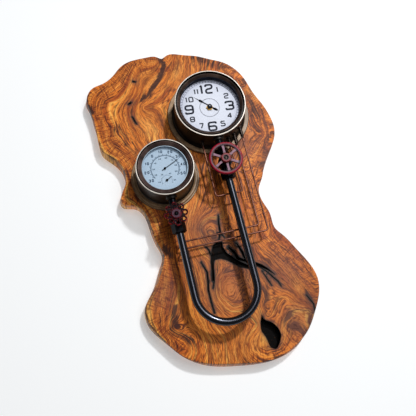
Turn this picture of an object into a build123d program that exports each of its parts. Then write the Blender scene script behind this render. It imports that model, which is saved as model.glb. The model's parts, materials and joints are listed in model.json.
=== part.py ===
from build123d import *
import math
import os

# Weather station wall clock: a clock head and a thermometer-hygrometer head on a live-edge wooden board,
# joined by a bent pipe with a valve at each end, with three copper wires behind the pipe.
# Millimetres. +X to the right, +Z up, the face looks along -Y and the wall lies behind at Y = 0.
# The origin is the round hole of the keyhole plate, in the plane of the board's back.

# Board
BOARD_T = 24.0
FACE_EDGE_IN = 1.2
FACE_EDGE_DEEP = 2.4
WANE = 2.6
WANE_WAVE = 1.3
REAR_HOLE_R = 37.5
KNOT_DEEP = 15.0
CRACK_DEEP = 6.0
CLOCK_FROM_HANGER_X = 44.0
CLOCK_BELOW_HANGER = 100.0

# Clock head, from the window outwards and from the rim down
CLOCK_APERTURE_R = 51.0
CLOCK_GLASS_LAP = 3.6
CLOCK_BEZEL_WIDE = 7.5
CLOCK_WALL = 2.2
CLOCK_FOOT_WIDE = 5.0
CLOCK_FLANGE_WIDE = 12.0
CLOCK_FLANGE_T = 6.0
CLOCK_COVE_HIGH = 6.0
CLOCK_RIM_OVER_PIPE = 15.0
CLOCK_GLASS_BELOW_RIM = 7.8
CLOCK_GLASS_T = 2.0
CLOCK_DIAL_BELOW_GLASS = 11.2
CLOCK_DIAL_T = 1.2
CLOCK_TURN = 5.2
CLOCK_BEZEL_CREST_DOWN = 0.7
CLOCK_BEZEL_LIP_T = 2.6
CLOCK_BEZEL_GROOVE = 2.1
CLOCK_BEZEL_NOSE = 1.3
REFLECTOR_TOP_WIDE = 1.2
REFLECTOR_FOOT_WIDE = 0.6

# Gauge head, the same way, and its place: the gap between the two flanges and the direction down to the left
HEADS_APART = 7.53
GAUGE_DIRECTION = 43.98
GAUGE_APERTURE_R = 37.0
GAUGE_LENS_LAP = 4.5
GAUGE_BEZEL_WIDE = 8.8
GAUGE_WALL = 2.0
GAUGE_COVE_WIDE = 2.8
GAUGE_STEP_WIDE = 7.4
GAUGE_STEP_T = 3.0
GAUGE_FLANGE_PAST_STEP = 3.5
GAUGE_FLANGE_T = 6.0
GAUGE_COVE_HIGH = 5.0
GAUGE_RIM_OVER_PIPE = 18.8
GAUGE_LENS_BELOW_RIM = 7.3
GAUGE_LENS_T = 1.8
GAUGE_DIAL_BELOW_LENS = 3.7
GAUGE_DIAL_T = 0.8
GAUGE_TURN = 3.0
GAUGE_BEZEL_CREST_DOWN = 0.6
GAUGE_BEZEL_LIP_T = 2.4
GAUGE_BEZEL_GROOVE = 0.9
GAUGE_BEZEL_STEP = 1.3
GAUGE_BEZEL_LAND = 0.6
SPACER_WIDE = 2.8
SPACER_LEAN = 1.0
HUMIDITY_DOWN = 20.5

# Shared walls, edges and clearances
CASE_WALL = 1.2
CASE_GAP = 1.0
CASE_CORNER_R = 1.5
DROP_IN = 0.3
RUN = 0.05
EDGE_R = 0.8
SMALL_EDGE = 0.5
FLANGE_EDGE_R = 1.1
FLANGE_GROOVE_WIDE = 1.6
FLANGE_GROOVE_DEEP = 0.9
COVE_HOLLOW = 0.34
LEDGE_LIP_T = 2.4
LEDGE_SLOPE_HIGH = 3.2
BEZEL_CREST_R = 0.7
BEZEL_LEAN = 0.2
PAST = 1.0

# Screws from the back of the board into the flanges
SCREW_R = 2.0
SCREW_HOLE_ROOM = 0.3
SCREW_HEAD_R = 4.0
SCREW_HEAD_T = 3.0
SCREW_SINK = 9.0
SCREW_SINK_ROOM = 1.0
SCREW_TIP_GAP = 2.0
SCREW_BLIND = 0.4
SCREW_FIRST = 30.0
SLOT_WIDE = 1.0
SLOT_DEEP = 1.2

# Quartz movement
BATTERY_R = 7.1
BATTERY_LONG = 48.6
BATTERY_NUB = 1.4
BATTERY_NUB_R = 2.7
CONTACT_ROOM = 1.6
CONTACT_T = 0.4
CONTACT_WIDE = 7.0
CONTACT_BOW_HIGH = 4.0
BAY_END_WALL = 1.4
BAY_SIDE_WALL = 2.1
BAY_SPARE = 0.4
BAY_FLOOR = 0.9
MOVEMENT_CORNER_R = 3.0
BUSHING_ROOT = 3.0
BUSHING_R = 4.0
BUSHING_ABOVE_DIAL = 3.5
NUT_FLATS = 10.0
NUT_T = 2.2
HOUR_TUBE_R = 2.55
HOUR_TUBE_ROOT = 1.5
MINUTE_SHAFT_R = 1.6
MINUTE_SHAFT_FLOOR = 4.5
KNOB_R = 6.0
KNOB_T = 3.0
KNOB_UP = 13.0
KNOB_STEM_R = 1.5
KNOB_OFF_CASE = 0.3
KNOB_FLUTES = 16
KNOB_FLUTE_R = 0.6

# Clock hands
HAND_T = 0.4
HANDS_APART = 1.4
HOUR_HAND_OVER_BUSHING = 0.6
HAND_BULGE_WIDE = 1.9
MINUTE_HAND_LONG = 32.0
MINUTE_HAND_BULGE = 18.5
MINUTE_HAND_WAIST = 0.75
MINUTE_HAND_EYE = 1.9
MINUTE_HAND_AT = 307.0
HOUR_HAND_LONG = 15.5
HOUR_HAND_BULGE = 11.5
HOUR_HAND_WAIST = 0.9
HOUR_HAND_EYE = 1.5
HOUR_HAND_AT = 124.0
CAP_OVER_SHAFT = 0.5
CAP_HIGH = 1.5

# Gauge hands
ARBOR_R = 1.0
TEMPERATURE_HAND_LONG = 29.0
TEMPERATURE_HAND_TAIL = 6.0
TEMPERATURE_HAND_WIDE = 0.9
TEMPERATURE_HAND_AT = 62.0
HUMIDITY_HAND_LONG = 10.5
HUMIDITY_HAND_TAIL = 3.0
HUMIDITY_HAND_WIDE = 0.8
HUMIDITY_HAND_AT = 58.0
POINTER_T = 0.35
POINTER_CLEAR = 1.9
POINTER_TAPER_FROM = 0.8
POINTER_BOSS_WALL = 0.7
POINTER_BOSS_HIGH = 0.5

# Inside the gauge
GAUGE_CASE_DEEP = 16.0
GAUGE_SEAT_WIDE = 1.6
POST_R = 2.2
POST_HIGH = 3.0
COIL_OVER_POST = 0.4
COIL_STRIP_T = 0.4
COIL_STRIP_WIDE = 3.5
COIL_GAP = 1.5
TEMPERATURE_COIL_HALF_TURNS = 9
HUMIDITY_COIL_HALF_TURNS = 6
ANCHOR_R = 0.8
ARBOR_BLIND = 0.5

# Pipe
PIPE_R = 6.35
PIPE_WALL = 1.2
PIPE_HIGH = 40.0
BEND_Z = -311.1
SOCKET_DEEP = 6.0
BOSS_WALL = 3.15
BOSS_OUT = 4.0
BOSS_FLOOR = 1.4
BOSS_ROOT = 0.4
PIPE_END_GAP = 0.1

# Wires
WIRE_R = 1.0
WIRES_BEHIND_PIPE = 15.0
WIRE_BEND_R = 5.0
WIRE_IN_WOOD = 9.0
WIRE_OUTER_X = 44.8
WIRE_OUTER_Z = -230.9
WIRES_APART_X = 13.1
WIRES_APART_Z = 11.8
SHORT_WIRE_IN = 11.1
SHORT_WIRE_WIDE = 46.9
SHORT_WIRE_Z = -156.0
WIRE_PAST_LEG = 1.5
LONG_FERRULE = 22.0
SHORT_FERRULE = 9.0
FERRULE_R = 2.9
FERRULE_TIP_R = 1.7
FERRULE_TAPER = 5.0
FERRULE_COLLAR_R = 3.7
FERRULE_COLLAR_LONG = 3.0
FERRULE_ROOT = 6.0

# Valves
LARGE_VALVE_BELOW_RIM = 44.5
LARGE_VALVE_NECK_UP = 6.5
LARGE_VALVE_NECK_DOWN = 2.5
SMALL_VALVE_BELOW_RIM = 34.4
SMALL_VALVE_NECK_UP = 2.5
SMALL_VALVE_NECK_DOWN = 0.5
VALVE_FLATS = 20.5
VALVE_HEX_LONG = 8.0
VALVE_BARREL_R = 9.0
VALVE_WAIST_IN = 1.0
VALVE_LAND_LONG = 1.5
VALVE_BOWL_R = 11.4
VALVE_BOWL_DEEP = 10.0
VALVE_BOWL_CORNER_R = 3.6
VALVE_BOWL_OVER_BARREL = 1.6
WATERWAY_R = 4.4
PLUG_R = 6.1
PLUG_LONG = 10.0
PLUG_FOOT = -5.2
PLUG_SEAT_GAP = 0.1
SPINDLE_R = 2.5
SPINDLE_SQUARE = 3.6
LARGE_PLUG_TRAVEL = 6.0
RISING_SPINDLE_IN_PLUG = 4.0
FIXED_SPINDLE_IN_PLUG = 2.6
COLLAR_R = 3.6
COLLAR_T = 1.2
COLLAR_LIFT = 0.2
BONNET_FLATS = 19.0
BONNET_T = 3.6
BONNET_NECK_R = 6.0
BONNET_NECK_T = 1.2
BONNET_HOLLOW = 2.3
PACKING_FLATS = 12.0
PACKING_T = 2.2
HUB_ABOVE_PACKING = 0.4
HUB_R = 8.0
HUB_LONG = 8.0
HUB_EDGE_R = 1.2
HUB_SEAT_DEEP = 1.0
HUB_RECESS_R = 4.0
HUB_RECESS_DEEP = 2.6
WHEEL_UP_HUB = 3.2
WHEEL_SCREW_R = 1.2
WHEEL_SCREW_HEAD_R = 3.1
WHEEL_SCREW_HEAD_T = 1.7
WHEEL_SCREW_RIM_T = 0.6
WHEEL_SCREW_LONG = 5.0
WHEEL_SLOT_WIDE = 0.9
WHEEL_SLOT_DEEP = 0.8
UNION_LONG = 10.0
UNION_NOSE_WALL = 2.6
UNION_SLOPE_LONG = 2.4
LARGE_WHEEL_R = 28.4
LARGE_WHEEL_RIM_R = 3.1
LARGE_WHEEL_SPOKES = 6
SPOKE_WIDE_AT_HUB = 5.0
SPOKE_WAIST = 3.4
SPOKE_WIDE_AT_RIM = 6.0
SPOKE_T = 3.2
SMALL_WHEEL_R = 19.3
SMALL_WHEEL_LOBES = 8
LOBE_R = 4.9
LOBE_WINDOW_R = 2.7
LOBE_WINDOW_IN = 0.4
SMALL_WHEEL_T = 4.4
SMALL_WHEEL_GROOVE_DEEP = 0.8
SMALL_WHEEL_LAND = 1.0

# Keyhole plate
PLATE_WIDE = 18.0
PLATE_TALL = 56.0
PLATE_T = 2.0
PLATE_CORNER_R = 3.0
KEYHOLE_R = 4.5
KEYHOLE_SLOT = 4.6
KEYHOLE_SLOT_UP = 10.0
KEYHOLE_POCKET_WIDE = 13.0
KEYHOLE_POCKET_DEEP = 12.0
PLATE_SCREW_IN = 6.0
PLATE_SCREW_R = 1.6
PLATE_SCREW_LONG = 14.0
PLATE_SCREW_POINT = 2.0

# Places worked out from the sizes above
CLOCK_BORE_R = CLOCK_APERTURE_R + CLOCK_BEZEL_WIDE + DROP_IN
CLOCK_RIM_R = CLOCK_BORE_R + CLOCK_WALL
CLOCK_FLANGE_R = CLOCK_RIM_R + CLOCK_FLANGE_WIDE
CLOCK_HIGH = PIPE_HIGH + CLOCK_RIM_OVER_PIPE
CLOCK_GLASS_HIGH = CLOCK_HIGH - CLOCK_GLASS_BELOW_RIM
CLOCK_DIAL_HIGH = CLOCK_GLASS_HIGH - CLOCK_DIAL_BELOW_GLASS
CLOCK_LEDGE_TOP = CLOCK_GLASS_HIGH - CASE_WALL
CLOCK_CASE_R = CLOCK_APERTURE_R + CLOCK_GLASS_LAP
CLOCK_LEDGE_R = CLOCK_CASE_R + CASE_GAP
CLOCK_DIAL_UNDER = CLOCK_DIAL_HIGH - CLOCK_DIAL_T
CLOCK_CASE_FLOOR = CLOCK_DIAL_UNDER - CASE_WALL
BATTERY_SINK = 2 * BATTERY_R + BAY_SPARE
BATTERY_OVERALL = BATTERY_LONG + BATTERY_NUB
BAY_LONG = BATTERY_OVERALL + 2 * CONTACT_ROOM
MOVEMENT_SIDE = BAY_LONG + 2 * BAY_END_WALL
MOVEMENT_DEEP = BATTERY_SINK + BAY_FLOOR
MOVEMENT_BACK = CLOCK_CASE_FLOOR - MOVEMENT_DEEP
BATTERY_DOWN = MOVEMENT_SIDE / 2 - BAY_SIDE_WALL - BATTERY_R - DROP_IN
HOUR_HAND_LOW = CLOCK_DIAL_HIGH + BUSHING_ABOVE_DIAL + HOUR_HAND_OVER_BUSHING
MINUTE_HAND_LOW = HOUR_HAND_LOW + HAND_T + HANDS_APART
GAUGE_BORE_R = GAUGE_APERTURE_R + GAUGE_BEZEL_WIDE + DROP_IN
GAUGE_RIM_R = GAUGE_BORE_R + GAUGE_WALL
GAUGE_STEP_R = GAUGE_RIM_R + GAUGE_STEP_WIDE
GAUGE_FLANGE_R = GAUGE_STEP_R + GAUGE_FLANGE_PAST_STEP
GAUGE_HIGH = PIPE_HIGH + GAUGE_RIM_OVER_PIPE
GAUGE_LENS_HIGH = GAUGE_HIGH - GAUGE_LENS_BELOW_RIM
GAUGE_DIAL_HIGH = GAUGE_LENS_HIGH - GAUGE_DIAL_BELOW_LENS
GAUGE_DIAL_UNDER = GAUGE_DIAL_HIGH - GAUGE_DIAL_T
GAUGE_LEDGE_TOP = GAUGE_LENS_HIGH - CASE_WALL
GAUGE_CASE_R = GAUGE_APERTURE_R + GAUGE_LENS_LAP
GAUGE_LEDGE_R = GAUGE_CASE_R + CASE_GAP
GAUGE_FLOOR = GAUGE_LENS_HIGH - GAUGE_CASE_DEEP + CASE_WALL
HEADS_BETWEEN_CENTRES = CLOCK_FLANGE_R + HEADS_APART + GAUGE_FLANGE_R
GAUGE_X = -HEADS_BETWEEN_CENTRES * math.cos(math.radians(GAUGE_DIRECTION))
GAUGE_Z = -HEADS_BETWEEN_CENTRES * math.sin(math.radians(GAUGE_DIRECTION))
BEND_R = -GAUGE_X / 2
COIL_LOW = GAUGE_FLOOR + POST_HIGH + COIL_OVER_POST
COIL_START_R = ARBOR_R + DROP_IN + COIL_STRIP_T / 2
POINTER_LOW = GAUGE_DIAL_HIGH + POINTER_CLEAR
BOSS_R = PIPE_R + BOSS_WALL
WIRE_HIGH = PIPE_HIGH - WIRES_BEHIND_PIPE
WIRE_INNER_X = WIRE_OUTER_X - WIRES_APART_X
WIRE_INNER_Z = WIRE_OUTER_Z + WIRES_APART_Z
SHORT_WIRE_RIGHT_X = WIRE_INNER_X - SHORT_WIRE_IN
SHORT_WIRE_LEFT_X = SHORT_WIRE_RIGHT_X - SHORT_WIRE_WIDE
FERRULES = [(WIRE_OUTER_X, LONG_FERRULE), (WIRE_INNER_X, LONG_FERRULE),
            (SHORT_WIRE_LEFT_X, SHORT_FERRULE), (SHORT_WIRE_RIGHT_X, SHORT_FERRULE)]
LARGE_VALVE_Z = -CLOCK_RIM_R - LARGE_VALVE_BELOW_RIM
LARGE_VALVE_UP = BONNET_FLATS / 2 + LARGE_VALVE_NECK_UP + VALVE_HEX_LONG
LARGE_VALVE_DOWN = BONNET_FLATS / 2 + LARGE_VALVE_NECK_DOWN + VALVE_HEX_LONG
SMALL_VALVE_Z = GAUGE_Z - GAUGE_RIM_R - SMALL_VALVE_BELOW_RIM
SMALL_VALVE_UP = BONNET_FLATS / 2 + SMALL_VALVE_NECK_UP + VALVE_HEX_LONG
SMALL_VALVE_DOWN = BONNET_FLATS / 2 + SMALL_VALVE_NECK_DOWN + VALVE_HEX_LONG
VALVE_BOWL_TOP = VALVE_BARREL_R + VALVE_BOWL_OVER_BARREL
COLLAR_LOW = VALVE_BOWL_TOP + BONNET_HOLLOW + COLLAR_LIFT
BONNET_TOP = VALVE_BOWL_TOP + BONNET_T + BONNET_NECK_T
HUB_LOW = BONNET_TOP + PACKING_T + HUB_ABOVE_PACKING
HUB_TOP = HUB_LOW + HUB_LONG
WHEEL_PLANE = HUB_LOW + WHEEL_UP_HUB
PLATE_SCREW_SPREAD = PLATE_TALL - 2 * PLATE_SCREW_IN

# The board's outline and its hollows, in x and z from the clock's centre
BOARD_OUTLINE = [
    (-206, 68), (-202, 88), (-192, 98), (-174, 103), (-160, 109), (-147, 119), (-135, 130), (-120, 137),
    (-84, 140), (-65, 137), (-57, 132), (-48, 136), (-18, 132), (6, 125), (31, 113), (53, 102), (72, 84),
    (84, 62), (93, 30), (103, 6), (111, -22), (113, -41), (108, -63), (92, -87), (75, -112), (65, -134),
    (55, -150), (55, -175), (62, -200), (63, -224), (74, -241), (88, -266), (104, -297), (111, -326),
    (107, -347), (90, -378), (71, -403), (53, -417), (32, -428), (-4, -435), (-53, -428), (-105, -415),
    (-138, -396), (-160, -368), (-180, -334), (-182, -310), (-160, -280), (-140, -249), (-133, -230),
    (-140, -205), (-144, -170), (-150, -147), (-165, -134), (-182, -126), (-182, -115), (-170, -93),
    (-167, -72), (-178, -45), (-197, -25), (-201, 5), (-202, 40),
]
KNOT_OUTLINE = [
    (2, -363), (4, -370), (14, -377), (22, -388), (24, -400), (18, -412), (10, -419), (3, -415), (0, -400),
    (-5, -387), (-3, -373),
]
CRACK_OUTLINE = [
    (-49, -232), (-42, -228), (-32, -229), (-33, -238), (-29, -249), (-14, -266), (-2, -275), (7, -280),
    (15, -276), (24, -282), (32, -290), (41, -303), (30, -292), (14, -282), (5, -286), (-13, -277),
    (-32, -261), (-41, -256), (-51, -256), (-54, -259), (-57, -272), (-61, -290), (-65, -289), (-61, -271),
    (-59, -258), (-55, -245),
]


def on_board(x, z, turn=0.0):
    """A place on the board's front, x and z from the clock's centre, with local Z pointing at the viewer."""
    place = Location((CLOCK_FROM_HANGER_X + x, -BOARD_T, z - CLOCK_BELOW_HANGER), (90, 0, 0))
    return place * Rot(0, 0, -turn)


def toward(here, there):
    """The unit step from one point to another."""
    run = math.dist(here, there)
    return (there[0] - here[0]) / run, (there[1] - here[1]) / run


def rounded(before, corner, after, radius):
    """The two stops of an arc that rounds a corner between two straight sides."""
    back = toward(corner, before)
    on = toward(corner, after)
    half = math.acos(back[0] * on[0] + back[1] * on[1]) / 2
    start = [corner[i] + back[i] * radius / math.tan(half) for i in (0, 1)]
    end = [corner[i] + on[i] * radius / math.tan(half) for i in (0, 1)]
    middle = toward(corner, (corner[0] + back[0] + on[0], corner[1] + back[1] + on[1]))
    deep = radius / math.sin(half) - radius
    return [tuple(start), (*end, corner[0] + middle[0] * deep, corner[1] + middle[1] * deep)]


def section(*stops):
    """A closed face through (x, y) stops. A stop (x, y, radius) is a rounded corner, and a stop
    (x, y, mid x, mid y) is reached by an arc through its middle."""
    points = [stop[:2] for stop in stops]
    route = []
    for i, stop in enumerate(stops):
        if len(stop) == 3:
            route += rounded(points[i - 1], points[i], points[(i + 1) % len(points)], stop[2])
        else:
            route.append(stop)
    edges = []
    here = route[0][:2]
    for stop in route[1:] + route[:1]:
        there = stop[:2]
        if len(stop) == 4:
            edges.append(ThreePointArc(here, stop[2:], there))
        else:
            edges.append(Line(here, there))
        here = there
    return make_face(edges)


def turned(*stops):
    """A piece turned about Z from a section of (radius, height) stops."""
    return revolve(Plane.XZ * section(*stops), Axis.Z)


def rod(radius, low, high):
    return Pos(0, 0, low) * Cylinder(radius, high - low, align=(Align.CENTER, Align.CENTER, Align.MIN))


def tube(outer, inner, low, high):
    return rod(outer, low, high) - rod(inner, low - PAST, high + PAST)


def hexagon(flats, low, high):
    plan = RegularPolygon(flats / 2, 6, major_radius=False)
    return Pos(0, 0, low) * extrude(plan, amount=high - low)


def block(wide, tall, low, high):
    return Pos(0, 0, low) * Box(wide, tall, high - low, align=(Align.CENTER, Align.CENTER, Align.MIN))


def along_pipe(piece):
    """Turns a piece made along Z so that it lies along the board's upward direction."""
    return Rot(-90, 0, 0) * piece


def around(count, radius, piece, first=0.0):
    step = 360 / count
    return [Rot(0, 0, first + i * step) * Pos(radius, 0, 0) * piece for i in range(count)]


def cove(x, y, wide, high):
    """The stops of a hollow curve from (x + wide, y) up to (x, y + high)."""
    return [(x + wide, y), (x, y + high, x + COVE_HOLLOW * wide, y + COVE_HOLLOW * high)]


def outline_face(grow, wave, height):
    """The board's outline moved outwards by a grow and a slow wave, as a face at a height off the front."""
    moved = []
    for i, (x, z) in enumerate(BOARD_OUTLINE):
        before = BOARD_OUTLINE[i - 1]
        after = BOARD_OUTLINE[(i + 1) % len(BOARD_OUTLINE)]
        along_x, along_z = toward(before, after)
        out = grow + wave * math.sin(1.9 * i) + wave * math.sin(0.7 * i)
        moved.append((x - along_z * out, z + along_x * out))
    return Pos(0, 0, height) * make_face(Spline(*moved, periodic=True))


def screw_places(radius):
    return around(3, radius, Location(), SCREW_FIRST)


CLOCK_SCREWS = screw_places((CLOCK_BORE_R + CLOCK_FLANGE_R) / 2)
GAUGE_SCREWS = screw_places((GAUGE_BORE_R + GAUGE_STEP_R) / 2)


def housing_screws(places, flange_t):
    """Pan-head screws from the back of the board up into a flange."""
    low = SCREW_SINK - SCREW_HEAD_T - BOARD_T
    high = low + SCREW_HEAD_T
    one = rod(SCREW_R, high, flange_t - SCREW_TIP_GAP)
    one += turned((0, low), (SCREW_HEAD_R, low, EDGE_R), (SCREW_HEAD_R, high), (0, high))
    one -= block(SLOT_WIDE, 2 * (SCREW_HEAD_R - EDGE_R), low - PAST, low + SLOT_DEEP)
    return Compound([place * one for place in places])


def tapped_holes(places, flange_t):
    """The blind holes in a flange that take those screws."""
    one = rod(SCREW_R + RUN, -PAST, flange_t - SCREW_TIP_GAP + SCREW_BLIND)
    return [place * one for place in places]


def screw_holes(places):
    """The clear holes and sinks that those screws need in the board."""
    one = rod(SCREW_R + SCREW_HOLE_ROOM, -BOARD_T - PAST, PAST)
    one += rod(SCREW_HEAD_R + SCREW_SINK_ROOM, -BOARD_T - PAST, SCREW_SINK - BOARD_T)
    return [place * one for place in places]


def clock_wall_z(x, radius):
    """How far below the clock's centre its wall of a given radius lies at x."""
    return -math.sqrt(radius ** 2 - x ** 2)


def hollow(face, deep):
    return extrude(Pos(0, 0, -deep) * face, amount=deep + PAST)


def wood_board():
    front = outline_face(-FACE_EDGE_IN, 0, 0)
    shoulder = outline_face(0, 0, -FACE_EDGE_DEEP)
    back = outline_face(WANE, WANE_WAVE, -BOARD_T)
    slab = loft([front, shoulder], ruled=True) + loft([shoulder, back], ruled=True)
    slab -= hollow(make_face(Spline(*KNOT_OUTLINE, periodic=True)), KNOT_DEEP)
    slab -= hollow(section(*CRACK_OUTLINE), CRACK_DEEP)
    slab -= rod(REAR_HOLE_R, -BOARD_T - PAST, PAST)
    slab -= screw_holes(CLOCK_SCREWS)
    slab -= [Pos(GAUGE_X, GAUGE_Z, 0) * hole for hole in screw_holes(GAUGE_SCREWS)]
    for z in (WIRE_OUTER_Z, WIRE_INNER_Z):
        hole = rod(WIRE_R + RUN, -WIRE_IN_WOOD - PAST, PAST)
        slab -= Pos(GAUGE_X - WIRE_PAST_LEG, z, 0) * hole
    return slab - Pos(-CLOCK_FROM_HANGER_X, CLOCK_BELOW_HANGER, -BOARD_T) * hanger_pocket()


def hanger_pocket():
    """What the board loses to the keyhole plate, the screw head behind it and the plate's two screws."""
    pocket = block(PLATE_WIDE + DROP_IN, PLATE_TALL + DROP_IN, -PAST, PLATE_T)
    head_tall = KEYHOLE_SLOT_UP + KEYHOLE_POCKET_WIDE + 2 * PAST
    behind_slot = block(KEYHOLE_POCKET_WIDE, head_tall, -PAST, KEYHOLE_POCKET_DEEP)
    pocket += Pos(0, KEYHOLE_SLOT_UP / 2, 0) * behind_slot
    pilot = rod(PLATE_SCREW_R + RUN, 0, PLATE_SCREW_LONG + SMALL_EDGE)
    return pocket + at_plate_ends(pilot)


def at_plate_ends(piece):
    return [Pos(0, side * PLATE_SCREW_SPREAD / 2, 0) * piece for side in (-1, 1)]


def hanger_plate():
    """The steel plate let into the back; its local Z points from the wall into the board."""
    plate = extrude(RectangleRounded(PLATE_WIDE, PLATE_TALL, PLATE_CORNER_R), amount=PLATE_T)
    plate -= rod(KEYHOLE_R, -PAST, PLATE_T + PAST)
    plate -= Pos(0, KEYHOLE_SLOT_UP / 2, 0) * block(KEYHOLE_SLOT, KEYHOLE_SLOT_UP, -PAST, PLATE_T + PAST)
    plate -= Pos(0, KEYHOLE_SLOT_UP, 0) * rod(KEYHOLE_SLOT / 2, -PAST, PLATE_T + PAST)
    hole_r = PLATE_SCREW_R + RUN
    sink = turned((0, -RUN), (hole_r + PLATE_SCREW_R + RUN, -RUN), (hole_r, PLATE_SCREW_R),
                  (hole_r, PLATE_T + PAST), (0, PLATE_T + PAST))
    return plate - at_plate_ends(sink)


def hanger_screws():
    """Two countersunk wood screws, head flush with the plate."""
    head_r = 2 * PLATE_SCREW_R
    one = turned((0, 0), (head_r, 0), (PLATE_SCREW_R, PLATE_SCREW_R),
                 (PLATE_SCREW_R, PLATE_SCREW_LONG - PLATE_SCREW_POINT), (0, PLATE_SCREW_LONG))
    one -= block(WHEEL_SLOT_WIDE, 2 * head_r, -PAST, WHEEL_SLOT_DEEP)
    return Compound(at_plate_ends(one))


def down_from_wall(piece):
    """Turns a piece made along Z to point down the board at the pipe's height."""
    return Pos(0, 0, PIPE_HIGH) * Rot(90, 0, 0) * piece


def pipe_boss(wall_r, bore_r):
    """The spud on a housing's wall that takes the nipple, and its blind hole."""
    root = bore_r + BOSS_ROOT
    top = wall_r + BOSS_OUT
    spud = turned((0, root), (BOSS_R, root), (BOSS_R, top, EDGE_R), (0, top))
    return down_from_wall(spud), down_from_wall(rod(PIPE_R + RUN, bore_r + BOSS_FLOOR, top + PAST))


def housing_mouth(rim, bore, high, ledge_r, ledge_top):
    """The stops from a housing's rim down inside to the ledge that carries the fitted pan."""
    return [(rim, high, EDGE_R), (bore, high, SMALL_EDGE), (bore, ledge_top), (ledge_r, ledge_top),
            (ledge_r, ledge_top - LEDGE_LIP_T), (bore, ledge_top - LEDGE_LIP_T - LEDGE_SLOPE_HIGH)]


def flange_groove(radius, top):
    """The stops of a V groove turned in a flange's face, from its outer edge inwards."""
    return [(radius, top), (radius - FLANGE_GROOVE_WIDE / 2, top - FLANGE_GROOVE_DEEP),
            (radius - FLANGE_GROOVE_WIDE, top)]


def clock_housing():
    """The clock's housing: a turned cup with a grooved flange, a spud for the pipe and the wires' holes."""
    foot = CLOCK_RIM_R + CLOCK_FOOT_WIDE
    thick = CLOCK_FLANGE_T
    cup = turned(
        (CLOCK_BORE_R, 0), (CLOCK_FLANGE_R, 0), (CLOCK_FLANGE_R, thick, FLANGE_EDGE_R),
        *flange_groove(foot, thick)[:-1],
        *cove(CLOCK_RIM_R, thick, CLOCK_FOOT_WIDE - FLANGE_GROOVE_WIDE, CLOCK_COVE_HIGH),
        *housing_mouth(CLOCK_RIM_R, CLOCK_BORE_R, CLOCK_HIGH, CLOCK_LEDGE_R, CLOCK_LEDGE_TOP))
    spud, hole = pipe_boss(CLOCK_RIM_R, CLOCK_BORE_R)
    cup = cup + spud - hole
    for x, _ in FERRULES:
        cup -= Pos(x, 0, WIRE_HIGH) * Rot(90, 0, 0) * rod(WIRE_R + RUN, 0, CLOCK_RIM_R + PAST)
    return cup - tapped_holes(CLOCK_SCREWS, thick)


def clock_case():
    """The pan of the fit-in clock: a rolled flange that sits on the housing's ledge, and a floor."""
    outer = CLOCK_CASE_R
    inner = outer - CASE_WALL
    low = CLOCK_CASE_FLOOR
    top = CLOCK_GLASS_HIGH
    hole = BUSHING_R + RUN
    brim = CLOCK_BORE_R - DROP_IN
    return turned(
        (hole, low), (outer, low, CASE_CORNER_R), (outer, top - CASE_WALL), (brim, top - CASE_WALL),
        (brim, top), (inner, top), (inner, low + CASE_WALL), (hole, low + CASE_WALL))


def clock_dial():
    radius = CLOCK_CASE_R - CASE_WALL - DROP_IN
    return tube(radius, BUSHING_R + RUN, CLOCK_DIAL_UNDER, CLOCK_DIAL_HIGH)


def clock_inner_ring():
    """The dark reflector between dial and glass, with a sloped inner side."""
    outer = CLOCK_CASE_R - CASE_WALL - DROP_IN
    return turned((outer, CLOCK_DIAL_HIGH), (outer, CLOCK_GLASS_HIGH),
                  (outer - REFLECTOR_TOP_WIDE, CLOCK_GLASS_HIGH),
                  (outer - REFLECTOR_FOOT_WIDE, CLOCK_DIAL_HIGH))


def clock_glass():
    return rod(CLOCK_CASE_R, CLOCK_GLASS_HIGH, CLOCK_GLASS_HIGH + CLOCK_GLASS_T)


def clock_bezel():
    """The ring that holds the glass down, with a raised crest and a slope to the aperture."""
    low = CLOCK_GLASS_HIGH
    glass_top = low + CLOCK_GLASS_T
    brim = CLOCK_BORE_R - DROP_IN
    hole = CLOCK_CASE_R + DROP_IN
    outer = brim - CLOCK_BEZEL_GROOVE
    return turned(
        (hole, low), (brim, low), (brim, low + CLOCK_BEZEL_LIP_T), (outer, low + CLOCK_BEZEL_LIP_T),
        (outer - BEZEL_LEAN, CLOCK_HIGH - CLOCK_BEZEL_CREST_DOWN, BEZEL_CREST_R),
        (CLOCK_APERTURE_R, glass_top + CLOCK_BEZEL_NOSE, SMALL_EDGE), (CLOCK_APERTURE_R, glass_top),
        (hole, glass_top))


def movement_case():
    """A quartz movement with its battery bay open at the back; its front seats on the pan's floor."""
    low = MOVEMENT_BACK
    top = CLOCK_CASE_FLOOR
    root = top - BUSHING_ROOT
    plan = RectangleRounded(MOVEMENT_SIDE, MOVEMENT_SIDE, MOVEMENT_CORNER_R)
    case = extrude(Pos(0, 0, low) * plan, amount=MOVEMENT_DEEP)
    case = chamfer(case.faces().sort_by(Axis.Z)[0].outer_wire().edges(), EDGE_R)
    bay = block(BAY_LONG, 2 * (BATTERY_R + DROP_IN), low - PAST, low + BATTERY_SINK)
    case -= Pos(0, -BATTERY_DOWN, 0) * bay
    case -= rod(BUSHING_R + RUN, root, top + PAST)
    case -= rod(HOUR_TUBE_R + RUN, root - HOUR_TUBE_ROOT - SMALL_EDGE, top)
    case -= rod(MINUTE_SHAFT_R + RUN, low + MINUTE_SHAFT_FLOOR - SMALL_EDGE, top)
    stem_hole = rod(KNOB_STEM_R + RUN, low - PAST, low + MINUTE_SHAFT_FLOOR + SMALL_EDGE)
    return case - Pos(0, KNOB_UP, 0) * stem_hole


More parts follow.
